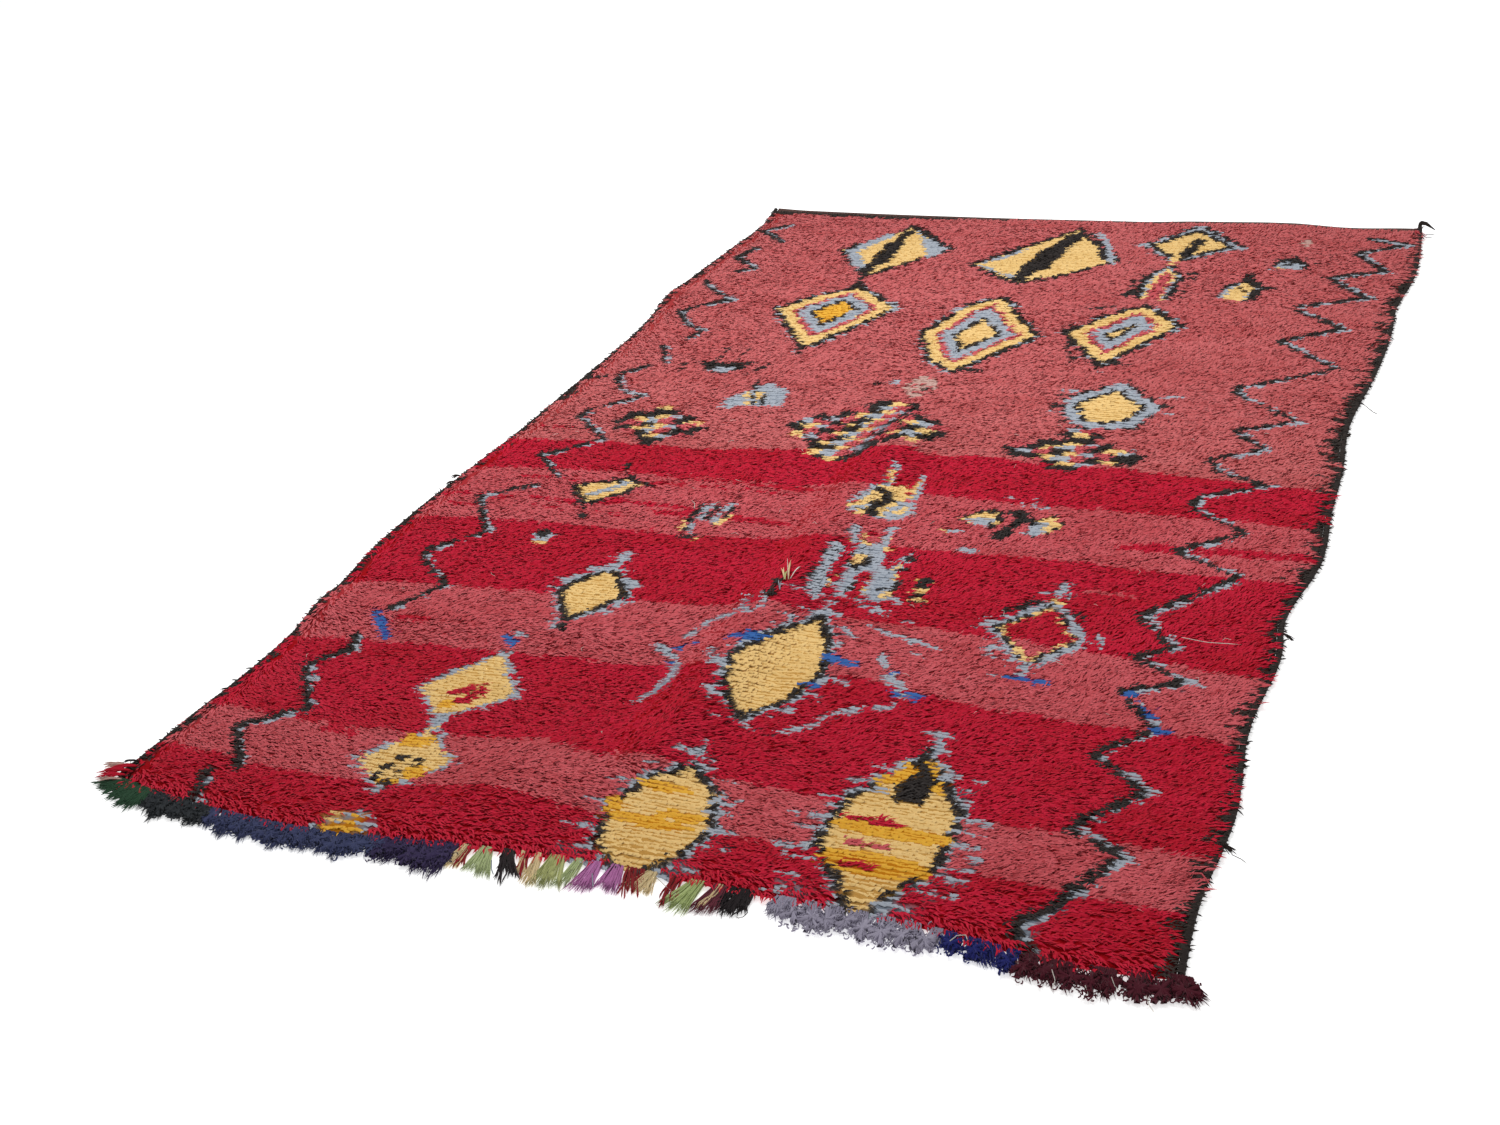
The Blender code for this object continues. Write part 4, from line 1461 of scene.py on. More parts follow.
def add_ground(sizes):
    """Weaves the ground. The foot of the pile takes the yarn of the knots above it, in painted shade, and
    darker still along the SHADES.
    """
    finish = Finish("foot_of_pile")
    mottle = finish.noise(*FOOT_MOTTLE)
    dyed_in_shade = finish.mark("dye", "Color")
    deep = finish.mix(dyed_in_shade, dyed_in_shade, 1.0, "MULTIPLY")
    finish.dress(
        {
            "Base Color": finish.mix(dyed_in_shade, deep, 0.4 * mottle),
            "Roughness": 0.85 + 0.1 * mottle,
            "Normal": finish.relief(mottle, 0.002),
            "Specular IOR Level": FOOT_SHINE,
        }
    )
    mesh = slab_mesh(
        "ground_cloth",
        *GROUND_GRID,
        near_edge,
        lambda x: field_end(x) - CLEARANCE,
        ground_height,
        finish.material,
    )
    points = np.empty(len(mesh.vertices) * 3, np.float32)
    mesh.vertices.foreach_get("co", points)
    x, y, _ = points.reshape(-1, 3).T.astype(float)
    # Each yarn's colour made deeper and darker as painted shade, and darker still where the SHADES paint
    # shade
    dyes_in_shade = np.array([shaded(yarn_colour(sizes, name), 0.66) for name, *_ in YARNS])
    colours = np.ones((len(x), 4), np.float32)
    colours[:, :3] = dyes_in_shade[charted(x, y, np.zeros(len(x)))] * (1 - 0.7 * shade_of(x, y))[:, None]
    layer = mesh.attributes.new("dye", "FLOAT_COLOR", "POINT")
    layer.data.foreach_set("color", colours.ravel())
    return rug_piece("ground_cloth", mesh, ["pile_field"])


def add_web(sizes):
    """Weaves the dark web of the far end."""
    colour = yarn_colour(sizes, "web")
    finish = weave("end_weave", shaded(colour, 0.5), colour, RIB, 0.0012)
    mesh = slab_mesh("end_weave", *WEB_GRID, field_end, far_edge, lambda x, y: WEB_THICKNESS, finish)
    return rug_piece("end_weave", mesh, ["end_web"])


CORD_SEED = 5
CORD_SPAN = (-1.25, 1.29)  # y at which the side edges are read for a cord's two ends
CORD_STEP = 0.0027  # from ring to ring of a cord's mesh
CORD_SIDES = 6
WRAP_PITCH = 0.0078  # from one turn of the overcasting yarn to the next
WRAP_RADII = (0.94, 0.08)  # a cord's middle radius, and how far the turns stand up, as shares of it
BULGES = (0.88, 1.08)  # the least and greatest thickness of a cord, as shares of its radius
BULGE_PITCH = 0.012  # from one change of thickness to the next
BULGE_SPAN = 3.0  # longer than either cord
UV_LANES = 24  # a cord's UVs lie in this many lanes, one over another
FUZZ = 800  # how many loose ends each cord has
FUZZ_RADII = (0.0014, 0.0012, 0.0)


def cord_ends(edge):
    """y of the field's two ends at a side edge."""
    return near_edge(edge(CORD_SPAN[0])), field_end(edge(CORD_SPAN[1]))


def cord_route(edge, inward, tail):
    """Points along the middle of a side cord with the share of its radius at each, and their distances."""
    near, far = cord_ends(edge)
    y = np.linspace(near + 0.002, far + WEB_DEPTH / 2, 400)
    x = edge(y) + inward * CORD_RADIUS
    points = np.stack([x, y, lie(x, y) + CORD_RADIUS, np.ones(len(y))], axis=1)
    if tail:
        corner_x = edge(END_TIP)
        corner_y = far_edge(corner_x)
        ends = [(corner_x + dx, corner_y + dy, height, share) for dx, dy, height, share in tail]
        points = np.concatenate([points, np.array(ends)])
    length = np.concatenate([[0], np.cumsum(np.linalg.norm(np.diff(points[:, :3], axis=0), axis=1))])
    stations = np.linspace(0, length[-1], round(length[-1] / CORD_STEP))
    return np.stack([np.interp(stations, length, points[:, part]) for part in range(4)], axis=1), stations


def wrapped_cord(name, edge, inward, tail, finish, chance):
    """A cord overcast with yarn: each turn of the yarn stands up round it."""
    sides = CORD_SIDES
    route, stations = cord_route(edge, inward, tail)
    centre = route[:, :3]
    along = unit(np.gradient(centre, axis=0))
    beside = unit(np.cross(along, (0.0, 0.0, 1.0)))
    over = np.cross(beside, along)
    turn = 2 * math.pi * np.arange(sides) / sides
    wraps = np.sin(2 * math.pi * stations[:, None] / WRAP_PITCH + turn[None, :])
    places = np.arange(0, BULGE_SPAN, BULGE_PITCH)
    bulge = np.interp(stations, places, chance.uniform(*BULGES, len(places)))
    radius = CORD_RADIUS * route[:, 3:] * bulge[:, None] * (WRAP_RADII[0] + WRAP_RADII[1] * wraps)
    points = (
        centre[:, None, :]
        + beside[:, None, :] * (radius * np.cos(turn))[..., None]
        + over[:, None, :] * (radius * np.sin(turn))[..., None]
    )
    rings = len(centre)
    ring, side = np.divmod(np.arange((rings - 1) * sides), sides)
    low = ring * sides
    high = low + sides
    after = (side + 1) % sides
    quads = np.stack([low + side, high + side, high + after, low + after], axis=1)
    caps = np.array([np.arange(sides)[::-1], (rings - 1) * sides + np.arange(sides)])

    run = ring * UV_LANES / rings
    lane = np.floor(run)
    start = run - lane
    end = start + UV_LANES / rings
    quad_u = np.stack([start, end, end, start], axis=1) * 0.95
    in_lane = 0.8 * np.stack([side, side, side + 1, side + 1], axis=1) / sides
    quad_v = (lane[:, None] + 0.1 + in_lane) / UV_LANES
    corner = 0.004 * np.stack([np.cos(turn), np.sin(turn)], axis=1)
    uvs = np.concatenate([np.stack([quad_u, quad_v], axis=2).reshape(-1, 2), 0.98 + corner, 0.99 + corner])
    mesh = mesh_of(name, points.reshape(-1, 3), (quads, caps), uvs, finish)
    # The crowns of the turns are marked as tips and the grooves as roots, so the wool finish puts painted
    # shade in the grooves
    noted(mesh, "tip", 0.5 + 0.5 * wraps.ravel())
    noted(mesh, "tone", np.repeat(chance.uniform(0, 1, rings), sides))
    return mesh


def cord_fuzz(edge, inward, chance):
    """Paths of the short loose ends along a side cord."""
    near, far = cord_ends(edge)
    y = chance.uniform(near + 0.01, far, FUZZ)
    x = edge(y) + inward * CORD_RADIUS
    out = -inward * chance.uniform(-0.2, 1.0, FUZZ)
    along = chance.uniform(-1.0, 1.0, FUZZ)
    length = chance.uniform(0.005, 0.012, FUZZ)
    root = np.stack([x + 0.5 * out * CORD_RADIUS, y, lie(x, y) + CORD_RADIUS * 1.3], axis=1)
    sway = np.stack([out * length, along * length, chance.uniform(-0.003, 0.002, FUZZ)], axis=1)
    paths = np.stack([root, root + 0.6 * sway + (0, 0, 0.001), root + sway], axis=1)
    paths[..., 2] = np.maximum(paths[..., 2], 0.001)
    return paths


def add_cords(sizes):
    """Overcasts both side cords and frays them."""
    chance = np.random.default_rng(CORD_SEED)
    colour = yarn_colour(sizes, "cord")
    finish = wool("cord_wool", shaded(colour, 0.5), colour, 0.05, 0.0010)
    for name, edge, inward, tail in (
        ("selvedge_left", left_edge, 1.0, ()),
        ("selvedge_right", right_edge, -1.0, CORNER_TAIL),
    ):
        cord = wrapped_cord(name + "_cord", edge, inward, tail, finish, chance)
        rug_piece(name + "_cord", cord, [name])
        paths = cord_fuzz(edge, inward, chance)
        radii = np.tile(FUZZ_RADII, (FUZZ, 1))
        fuzz = yarn_mesh(name + "_fuzz", paths, radii, chance.uniform(0, 1, FUZZ), finish)
        rug_piece(name + "_fuzz", fuzz)


# The fringe

FRINGE = tuple(name for name in SLOTS if name.startswith("fringe_"))
# Tassels of a kind in a line: yarn, habit, x of the first and of the last, how many, how far they reach
# past the line of the fringe's tips, and width
LOCKS = (
    ("fringe_charcoal", "ball", -0.712, -0.608, 7, -0.003, 0.03),
    ("fringe_charcoal", "lock", -0.712, -0.612, 6, 0.01, 0.019),
    ("fringe_slate_navy", "ball", -0.592, -0.318, 15, -0.004, 0.034),
    ("fringe_slate_navy", "lock", -0.592, -0.322, 13, 0.008, 0.019),
    ("fringe_aubergine", "ball", -0.302, -0.2, 7, -0.002, 0.03),
    ("fringe_aubergine", "lock", -0.302, -0.202, 6, 0.01, 0.019),
    ("fringe_lilac", "lock", 0.29, 0.49, 7, -0.01, 0.019),
    ("fringe_navy", "lock", 0.508, 0.59, 4, -0.006, 0.019),
    ("fringe_wine", "lock", 0.61, 0.785, 5, -0.006, 0.019),
)
TASSELS = {  # for each yarn: habit, x of the root, x and y of the tip, width at the tip
    "fringe_green": (
        ("lock", -0.782, -0.832, -1.262, 0.026),
        ("strands", -0.778, -0.834, -1.272, 0.02),
        ("lock", -0.77, -0.818, -1.284, 0.03),
        ("strands", -0.762, -0.8, -1.294, 0.024),
        ("lock", -0.752, -0.785, -1.302, 0.028),
        ("lock", -0.738, -0.758, -1.314, 0.026),
        ("strands", -0.732, -0.744, -1.316, 0.02),
        ("lock", -0.726, -0.736, -1.312, 0.024),
    ),
    "fringe_pale_green": (
        ("fan", -0.155, -0.152, -1.292, 0.024),
        ("fan", -0.148, -0.128, -1.298, 0.024),
        ("fan", -0.012, -0.014, -1.284, 0.026),
    ),
    "fringe_black_left": (
        ("strands", -0.12, -0.095, -1.302, 0.022),
        ("lock", -0.118, -0.098, -1.282, 0.02),
        ("strands", -0.116, -0.08, -1.284, 0.014),
    ),
    "fringe_cream": (
        ("fan", -0.18, -0.187, -1.292, 0.026),
        ("fan", -0.097, -0.078, -1.272, 0.012),
        ("fan", -0.074, -0.06, -1.292, 0.022),
        ("fan", 0.092, 0.072, -1.256, 0.02),
        ("fan", 0.098, 0.098, -1.262, 0.022),
        ("strands", 0.196, 0.186, -1.27, 0.012),
    ),
    "fringe_lime": (
        ("fan", -0.05, -0.044, -1.296, 0.03),
        ("fan", -0.04, -0.024, -1.29, 0.026),
    ),
    "fringe_orchid": (
        ("fan", 0.01, 0.006, -1.288, 0.028),
        ("fan", 0.016, 0.02, -1.282, 0.018),
        ("fan", 0.04, 0.04, -1.272, 0.022),
        ("fan", 0.048, 0.06, -1.276, 0.02),
    ),
    "fringe_rust": (
        ("strands", -0.176, -0.172, -1.29, 0.014),
        ("strands", -0.092, -0.08, -1.278, 0.012),
        ("strands", 0.062, 0.078, -1.278, 0.018),
        ("strands", 0.072, 0.09, -1.27, 0.014),
        ("lock", 0.075, 0.08, -1.252, 0.02),
        ("strands", 0.124, 0.128, -1.284, 0.018),
        ("strands", 0.134, 0.138, -1.266, 0.02),
    ),
    "fringe_leaf": (
        ("fan", 0.158, 0.136, -1.28, 0.026),
        ("fan", 0.166, 0.155, -1.29, 0.026),
    ),
    "fringe_maroon": (
        ("fan", 0.19, 0.176, -1.28, 0.02),
        ("fan", 0.2, 0.196, -1.278, 0.024),
    ),
    "fringe_black_right": (
        ("lock", 0.222, 0.212, -1.274, 0.024),
        ("lock", 0.232, 0.228, -1.276, 0.022),
        ("strands", 0.228, 0.222, -1.276, 0.022),
    ),
    "fringe_lilac": (
        ("lock", 0.282, 0.274, -1.256, 0.018),
        ("ball", 0.308, 0.306, -1.266, 0.038),
        ("ball", 0.33, 0.334, -1.272, 0.042),
        ("ball", 0.352, 0.352, -1.27, 0.034),
        ("ball", 0.374, 0.376, -1.26, 0.04),
        ("ball", 0.398, 0.402, -1.268, 0.04),
        ("ball", 0.424, 0.426, -1.27, 0.04),
        ("ball", 0.45, 0.452, -1.268, 0.042),
        ("ball", 0.48, 0.482, -1.266, 0.04),
    ),
    "fringe_navy": (
        ("ball", 0.512, 0.512, -1.254, 0.034),
        ("ball", 0.54, 0.546, -1.258, 0.038),
        ("lock", 0.548, 0.562, -1.268, 0.022),
        ("ball", 0.584, 0.59, -1.266, 0.03),
    ),
    "fringe_wine": (
        ("ball", 0.604, 0.61, -1.272, 0.036),
        ("ball", 0.628, 0.634, -1.27, 0.034),
        ("lock", 0.634, 0.648, -1.276, 0.018),
        ("ball", 0.66, 0.668, -1.276, 0.038),
        ("ball", 0.686, 0.692, -1.278, 0.03),
        ("ball", 0.708, 0.712, -1.272, 0.034),
        ("lock", 0.706, 0.712, -1.28, 0.016),
        ("ball", 0.738, 0.746, -1.272, 0.04),
        ("ball", 0.764, 0.772, -1.266, 0.034),
        ("ball", 0.786, 0.8, -1.258, 0.04),
        ("lock", 0.784, 0.822, -1.25, 0.026),
        ("lock", 0.79, 0.812, -1.262, 0.022),
    ),
}
HABITS = {  # how many yarns, radius, points, share of the width at the root, shortest, curl
    "lock": (70, 0.00130, 4, 0.85, 0.56, 0.0070),
    "fan": (54, 0.00100, 4, 0.30, 0.78, 0.0022),
    "strands": (9, 0.00150, 7, 0.50, 0.65, 0.0040),
    "ball": (66, 0.00115, 5, 1.0, 1.0, 0.0),
}

FRINGE_SEED = 23
FAN_WIDTH = 1.35  # how far a fan's yarns spread, as a share of the width in its row
TASSEL_WIDTH = 1.15  # the same for the other habits
FRINGE_TAPER = 0.4  # how much thinner a yarn is at its tip
BALL_CORE = 14  # how many of a ball's yarns are the thick ones that run through its middle
CORE_RADIUS = 3.4  # their radius, as a share of the others'
CORE_REACH = 0.72  # how far they reach towards its surface
BALL_WIDTH = 0.55  # half a ball's width, as a share of its tassel's
BALL_SPARE = 0.006  # what is added to half its length
BALL_HEIGHT = 0.0042  # half its height
BALL_MIDDLE = 0.0062  # the height of its middle over the floor


def ball(root_x, root_y, tip_x, tip_y, width, radii, share, chance):
    """Paths and radii of the yarns of a tangled tuft: short curls round a few thick ends."""
    count = len(radii)
    size = np.array((BALL_WIDTH * width, (root_y - tip_y) / 2 + BALL_SPARE, BALL_HEIGHT))
    spot = chance.normal(0, 1, (count, 1, 3))
    spot *= chance.uniform(0.35, 0.95, (count, 1, 1)) / np.linalg.norm(spot, axis=2, keepdims=True)
    start = unit(chance.normal(0, 1, (count, 1, 3)))
    other = unit(np.cross(start, chance.normal(0, 1, (count, 1, 3))))
    swing = chance.uniform(2.0, 4.0, (count, 1, 1)) * share[..., None]
    curl = (start * np.cos(swing) + other * np.sin(swing)) * chance.uniform(0.0022, 0.0046, (count, 1, 1))
    core = np.arange(count)[:, None, None] < BALL_CORE
    across = start * size * CORE_REACH * (2 * share[..., None] - 1)
    middle = (root_x + (tip_x - root_x) * 0.7, (root_y + tip_y) / 2, BALL_MIDDLE)
    paths = np.where(core, across, spot * size + curl) + middle
    radii = np.where(core[..., 0], CORE_RADIUS, 1.0) * radii
    paths[..., 2] = np.maximum(paths[..., 2], 0.6 * radii)
    return paths, radii


def tassel(habit, root_x, tip_x, tip_y, width, chance):
    """Paths and radii of the yarns that hang together as one tassel."""
    count, radius, stations, root_share, shortest, curl = HABITS[habit]
    root_y = near_edge(root_x) - CLEARANCE
    share = np.linspace(0, 1, stations)[None, :]
    spread = chance.uniform(-0.5, 0.5, (count, 1))
    layer = chance.uniform(0, 1, (count, 1))
    width = width * (FAN_WIDTH if habit == "fan" else TASSEL_WIDTH)
    radii = radius * chance.uniform(0.75, 1.2, (count, 1)) + 0 * share
    if habit == "ball":
        return ball(root_x, root_y, tip_x, tip_y, width, radii, share, chance)
    length = chance.uniform(shortest, 1.0, (count, 1))
    if habit == "lock":
        length *= 1 - 0.5 * np.abs(spread)
    ahead = length * share
    x = root_x + spread * width * root_share + (tip_x - root_x) * ahead
    x = x + spread * width * (1 - root_share) * ahead**1.3
    y = root_y + (tip_y - root_y) * ahead
    waves = chance.uniform(0, 2 * math.pi, (count, 1)) + share * chance.uniform(3, 7, (count, 1))
    x = x + curl * np.sin(waves) * share
    y = y + 0.6 * curl * np.cos(1.3 * waves) * share
    z = radius + (0.0020 + 0.0055 * layer) * (1 - 0.72 * ahead)
    if habit != "strands":
        radii = radii * (1 - FRINGE_TAPER * share)
    return np.stack([x, np.maximum(y, -END_TIP - 0.010), z], axis=2), radii


def add_fringe(sizes):
    """Ties the tassels along the near end, one piece for each yarn."""
    chance = np.random.default_rng(FRINGE_SEED)
    tassels = {name: list(TASSELS.get(name, ())) for name in FRINGE}
    for name, habit, first, last, count, past, broad in LOCKS:
        for root_x in np.linspace(first, last, count):
            tip_x = root_x + chance.uniform(-0.004, 0.014)
            tip_y = fringe_tip(tip_x) - past + chance.uniform(-0.012, 0.010)
            tassels[name].append((habit, root_x, tip_x, tip_y, broad * chance.uniform(0.75, 1.25)))
    for name, hung in tassels.items():
        colour = yarn_colour(sizes, name)
        finish = wool(name + "_wool", shaded(colour, 0.62, 1.3), colour, 0.10, 0.0004)
        made = [tassel(*about, chance) for about in hung]
        points = max(paths.shape[1] for paths, _ in made)
        paths = np.concatenate([resampled(paths, points) for paths, _ in made])
        radii = np.concatenate([resampled(radii[..., None], points)[..., 0] for _, radii in made])
        shift = np.concatenate([np.full(len(paths), chance.uniform(-0.3, 0.3)) for paths, _ in made])
        tones = np.clip(chance.uniform(0.1, 1.0, len(paths)) + shift, 0, 1)
        rug_piece(name + "_yarns", yarn_mesh(name + "_yarns", paths, radii, tones, finish), [name])


# Loose ends

THREADS = (  # the yarn, radius, points as x, y and height above the pile or the floor
    ("thread", 0.0008, ((0.1, -1.222, 0.004), (0.118, -1.236, 0.008), (0.138, -1.246, 0.005),
      (0.16, -1.25, 0.002))),
    ("fringe_black_right", 0.0007, ((0.232, -1.248, 0.006), (0.244, -1.246, 0.01),
      (0.25, -1.256, 0.007), (0.244, -1.266, 0.003), (0.234, -1.262, 0.002))),
    ("thread", 0.0008, ((0.512, -1.236, 0.01), (0.518, -1.226, 0.012), (0.527, -1.22, 0.01),
      (0.533, -1.228, 0.006))),
    ("thread", 0.0007, ((0.598, -1.24, 0.01), (0.602, -1.25, 0.008), (0.608, -1.258, 0.004))),
    ("thread", 0.0007, ((0.643, -1.25, 0.012), (0.65, -1.262, 0.008), (0.649, -1.276, 0.003))),
    ("thread", 0.0007, ((0.686, -1.262, 0.01), (0.692, -1.272, 0.006), (0.7, -1.278, 0.003))),
    ("thread", 0.0007, ((0.712, -1.242, 0.012), (0.718, -1.252, 0.009), (0.726, -1.256, 0.006))),
    ("thread", 0.0007, ((0.756, -1.258, 0.01), (0.762, -1.268, 0.006), (0.77, -1.276, 0.003))),
    ("thread", 0.0008, ((-0.302, -0.26, 0.001), (-0.29, -0.272, 0.003), (-0.283, -0.291, 0.001))),
    ("mist", 0.0009, ((-0.128, -1.262, 0.01), (-0.122, -1.274, 0.006), (-0.114, -1.282, 0.003))),
    ("mist", 0.0009, ((0.02, -1.248, 0.01), (0.026, -1.258, 0.008), (0.031, -1.268, 0.004))),
    ("cord", 0.0008, ((0.776, 0.384, 0.004), (0.796, 0.372, 0.006), (0.812, 0.352, 0.004),
      (0.824, 0.345, 0.002))),
    ("cord", 0.0007, ((0.8, 1.288, 0.006), (0.818, 1.292, 0.008), (0.834, 1.298, 0.006))),
    ("cord", 0.0007, ((0.802, 1.268, 0.006), (0.816, 1.272, 0.008), (0.83, 1.278, 0.006))),
    ("cord", 0.0006, ((0.79, -0.972, 0.008), (0.802, -0.978, 0.006), (0.814, -0.981, 0.004),
      (0.822, -0.986, 0.002))),
    ("rose", 0.0013, ((0.738, -1.036, 0.002), (0.76, -1.04, 0.003), (0.776, -1.042, 0.01),
      (0.792, -1.05, 0.008))),
    ("thread", 0.0006, ((0.64, -0.508, 0.001), (0.68, -0.514, 0.002), (0.73, -0.508, 0.002))),
)
TUFTS = (  # the yarn, radius, how many, where it is rooted, where its tip is, spread
    ("fringe_cream", 0.0016, 4, (-0.012, -0.506, -0.001), (-0.032, -0.466, 0.003), 0.006),
    ("fringe_cream", 0.0013, 4, (-0.005, -0.506, 0.0), (-0.028, -0.441, 0.004), 0.006),
    ("thread", 0.0008, 2, (-0.005, -0.506, 0.001), (-0.03, -0.445, 0.005), 0.005),
    ("thread", 0.0008, 3, (-0.003, -0.502, 0.0), (0.0, -0.462, 0.003), 0.008),
    ("fringe_lime", 0.0012, 4, (-0.01, -0.508, 0.0), (-0.018, -0.482, 0.003), 0.006),
    ("black", 0.0013, 4, (-0.01, -0.56, 0.0), (-0.021, -0.532, 0.003), 0.006),
    ("mist", 0.0013, 4, (-0.006, -0.54, 0.0), (-0.016, -0.516, 0.003), 0.006),
    ("cord", 0.0012, 10, (0.78, -0.46, 0.004), (0.8, -0.468, 0.006), 0.01),
    ("cord", 0.0012, 10, (0.786, -0.972, 0.004), (0.806, -0.978, 0.006), 0.01),
    ("cord", 0.0012, 10, (-0.806, -0.26, 0.004), (-0.832, -0.256, 0.006), 0.012),
    ("cord", 0.0012, 8, (-0.806, -0.284, 0.004), (-0.828, -0.282, 0.005), 0.01),
    ("fringe_black_left", 0.0013, 12, (-0.79, -1.215, 0.002), (-0.822, -1.211, 0.004), 0.012),
    ("cream", 0.0014, 24, (-0.806, -1.22, 0.004), (-0.851, -1.228, 0.004), 0.013),
    ("cream", 0.0009, 9, (-0.786, -1.252, 0.006), (-0.83, -1.268, 0.009), 0.012),
    ("crimson", 0.0016, 24, (-0.784, -1.225, 0.0), (-0.832, -1.238, 0.004), 0.014),
    ("crimson", 0.0016, 24, (-0.786, -1.236, 0.0), (-0.842, -1.247, 0.004), 0.014),
    ("crimson", 0.0015, 18, (-0.788, -1.246, 0.0), (-0.832, -1.26, 0.007), 0.013),
    ("rose", 0.0013, 16, (0.79, 1.282, 0.001), (0.812, 1.276, 0.001), 0.03),
    ("fringe_maroon", 0.0022, 16, (0.766, 1.3, 0.0), (0.797, 1.314, 0.016), 0.006),
    ("fringe_maroon", 0.0018, 12, (0.784, 1.304, 0.006), (0.806, 1.318, 0.017), 0.008),
)
STRAY_HAIRS = (44, 0.0004, 0.018)  # how many pale ones lie over the pile, radius, length
HAIR_SPAN = ((-0.75, 0.72), (-1.18, 0.30))  # from which x to which, and from which y to which
LOOSE_POINTS = 7  # along each loose end
LOOSE_ARCH = 0.08  # how far a tuft's ends rise over a straight line, as a share of its length
LOOSE_SEED = 31


def surface(x, y):
    """The height of the pile's top, or of the floor beside the rug."""
    on_rug = np.minimum.reduce(insets(x, y)) > 0
    return np.where(on_rug, lie(x, y) + pile_height(x, y), 0.0)


def tuft(radius, count, root, tip, spread, chance):
    """Paths and radii of loose ends that fan out from one root."""
    share = np.linspace(0, 1, LOOSE_POINTS)[:, None]
    root, tip = np.array(root), np.array(tip)
    root[2] += surface(root[0], root[1])
    tip[2] += surface(tip[0], tip[1])
    sway = chance.uniform(-0.5, 0.5, (count, 1, 3)) * spread * (1, 1, 0.3)
    length = chance.uniform(0.6, 1.0, (count, 1, 1))
    paths = root + (tip - root) * share * length + sway * share
    paths[..., 2] += LOOSE_ARCH * np.linalg.norm(tip - root) * np.sin(math.pi * share[:, 0])
    paths[..., 2] = np.maximum(paths[..., 2], radius)
    return paths, radius * chance.uniform(0.8, 1.2, (count, 1)) * (1 - 0.5 * share[:, 0])


def stray_hairs(chance):
    """Paths and radii of the pale hairs that lie bent over the pile."""
    count, radius, length = STRAY_HAIRS
    x = chance.uniform(*HAIR_SPAN[0], count)
    y = chance.uniform(*HAIR_SPAN[1], count)
    turn = chance.uniform(0, 2 * math.pi, count)
    bend = turn + chance.uniform(-1.2, 1.2, count)
    reach = length * chance.uniform(0.5, 1.0, count)
    middle_x, middle_y = x + 0.5 * reach * np.cos(turn), y + 0.5 * reach * np.sin(turn)
    tip_x, tip_y = middle_x + 0.5 * reach * np.cos(bend), middle_y + 0.5 * reach * np.sin(bend)
    across = np.stack([x, middle_x, tip_x], axis=1)
    along = np.stack([y, middle_y, tip_y], axis=1)
    paths = np.stack([across, along, surface(across, along) + (-0.001, 0.002, 0.001)], axis=2)
    return resampled(paths, LOOSE_POINTS), np.full((count, LOOSE_POINTS), radius)


def add_threads(sizes):
    """Leaves the loose ends and hairs, one piece for each yarn."""
    chance = np.random.default_rng(LOOSE_SEED)
    made = {}
    for name, radius, points in THREADS:
        points = np.array(points)
        points[:, 2] += surface(points[:, 0], points[:, 1])
        path = resampled(points[None], LOOSE_POINTS)
        made.setdefault(name, []).append((path, np.full((1, LOOSE_POINTS), radius)))
    for name, *about in TUFTS:
        made.setdefault(name, []).append(tuft(*about, chance))
    made["thread"].append(stray_hairs(chance))
    for name, groups in made.items():
        paths = np.concatenate([paths for paths, _ in groups])
        radii = np.concatenate([radii for _, radii in groups])
        full = yarn_colour(sizes, name)
        label = "loose_" + name
        finish = wool(label + "_wool", shaded(full, 0.6), full, 0.05, 0.0003)
        rug_piece(label, yarn_mesh(label, paths, radii, chance.uniform(0, 1, len(paths)), finish))


# The stage

WHITE = (1.0, 1.0, 1.0, 1.0)
FLOOR_COLOUR = (0.93, 0.93, 0.93, 1.0)
FLOOR_HALF = 20.0
LAMP_SIZE = (1.8, 1.6)
LAMP_PLACE = (-0.34, 0.42, 2.25)
LAMP_TILT = math.radians(-10)
CAMERA_PLACE = (1.0940, -2.7574, 1.4808)
CAMERA_AHEAD = (-0.40072, 0.77388, -0.49044)
CAMERA_RIGHT = (0.90942, 0.40097, -0.11036)
CAMERA_DOWN = (0.11124, -0.49024, -0.86446)
CAMERA_LENS = 42.04
SENSOR_WIDTH = 36.0
CLIP_END = 60.0


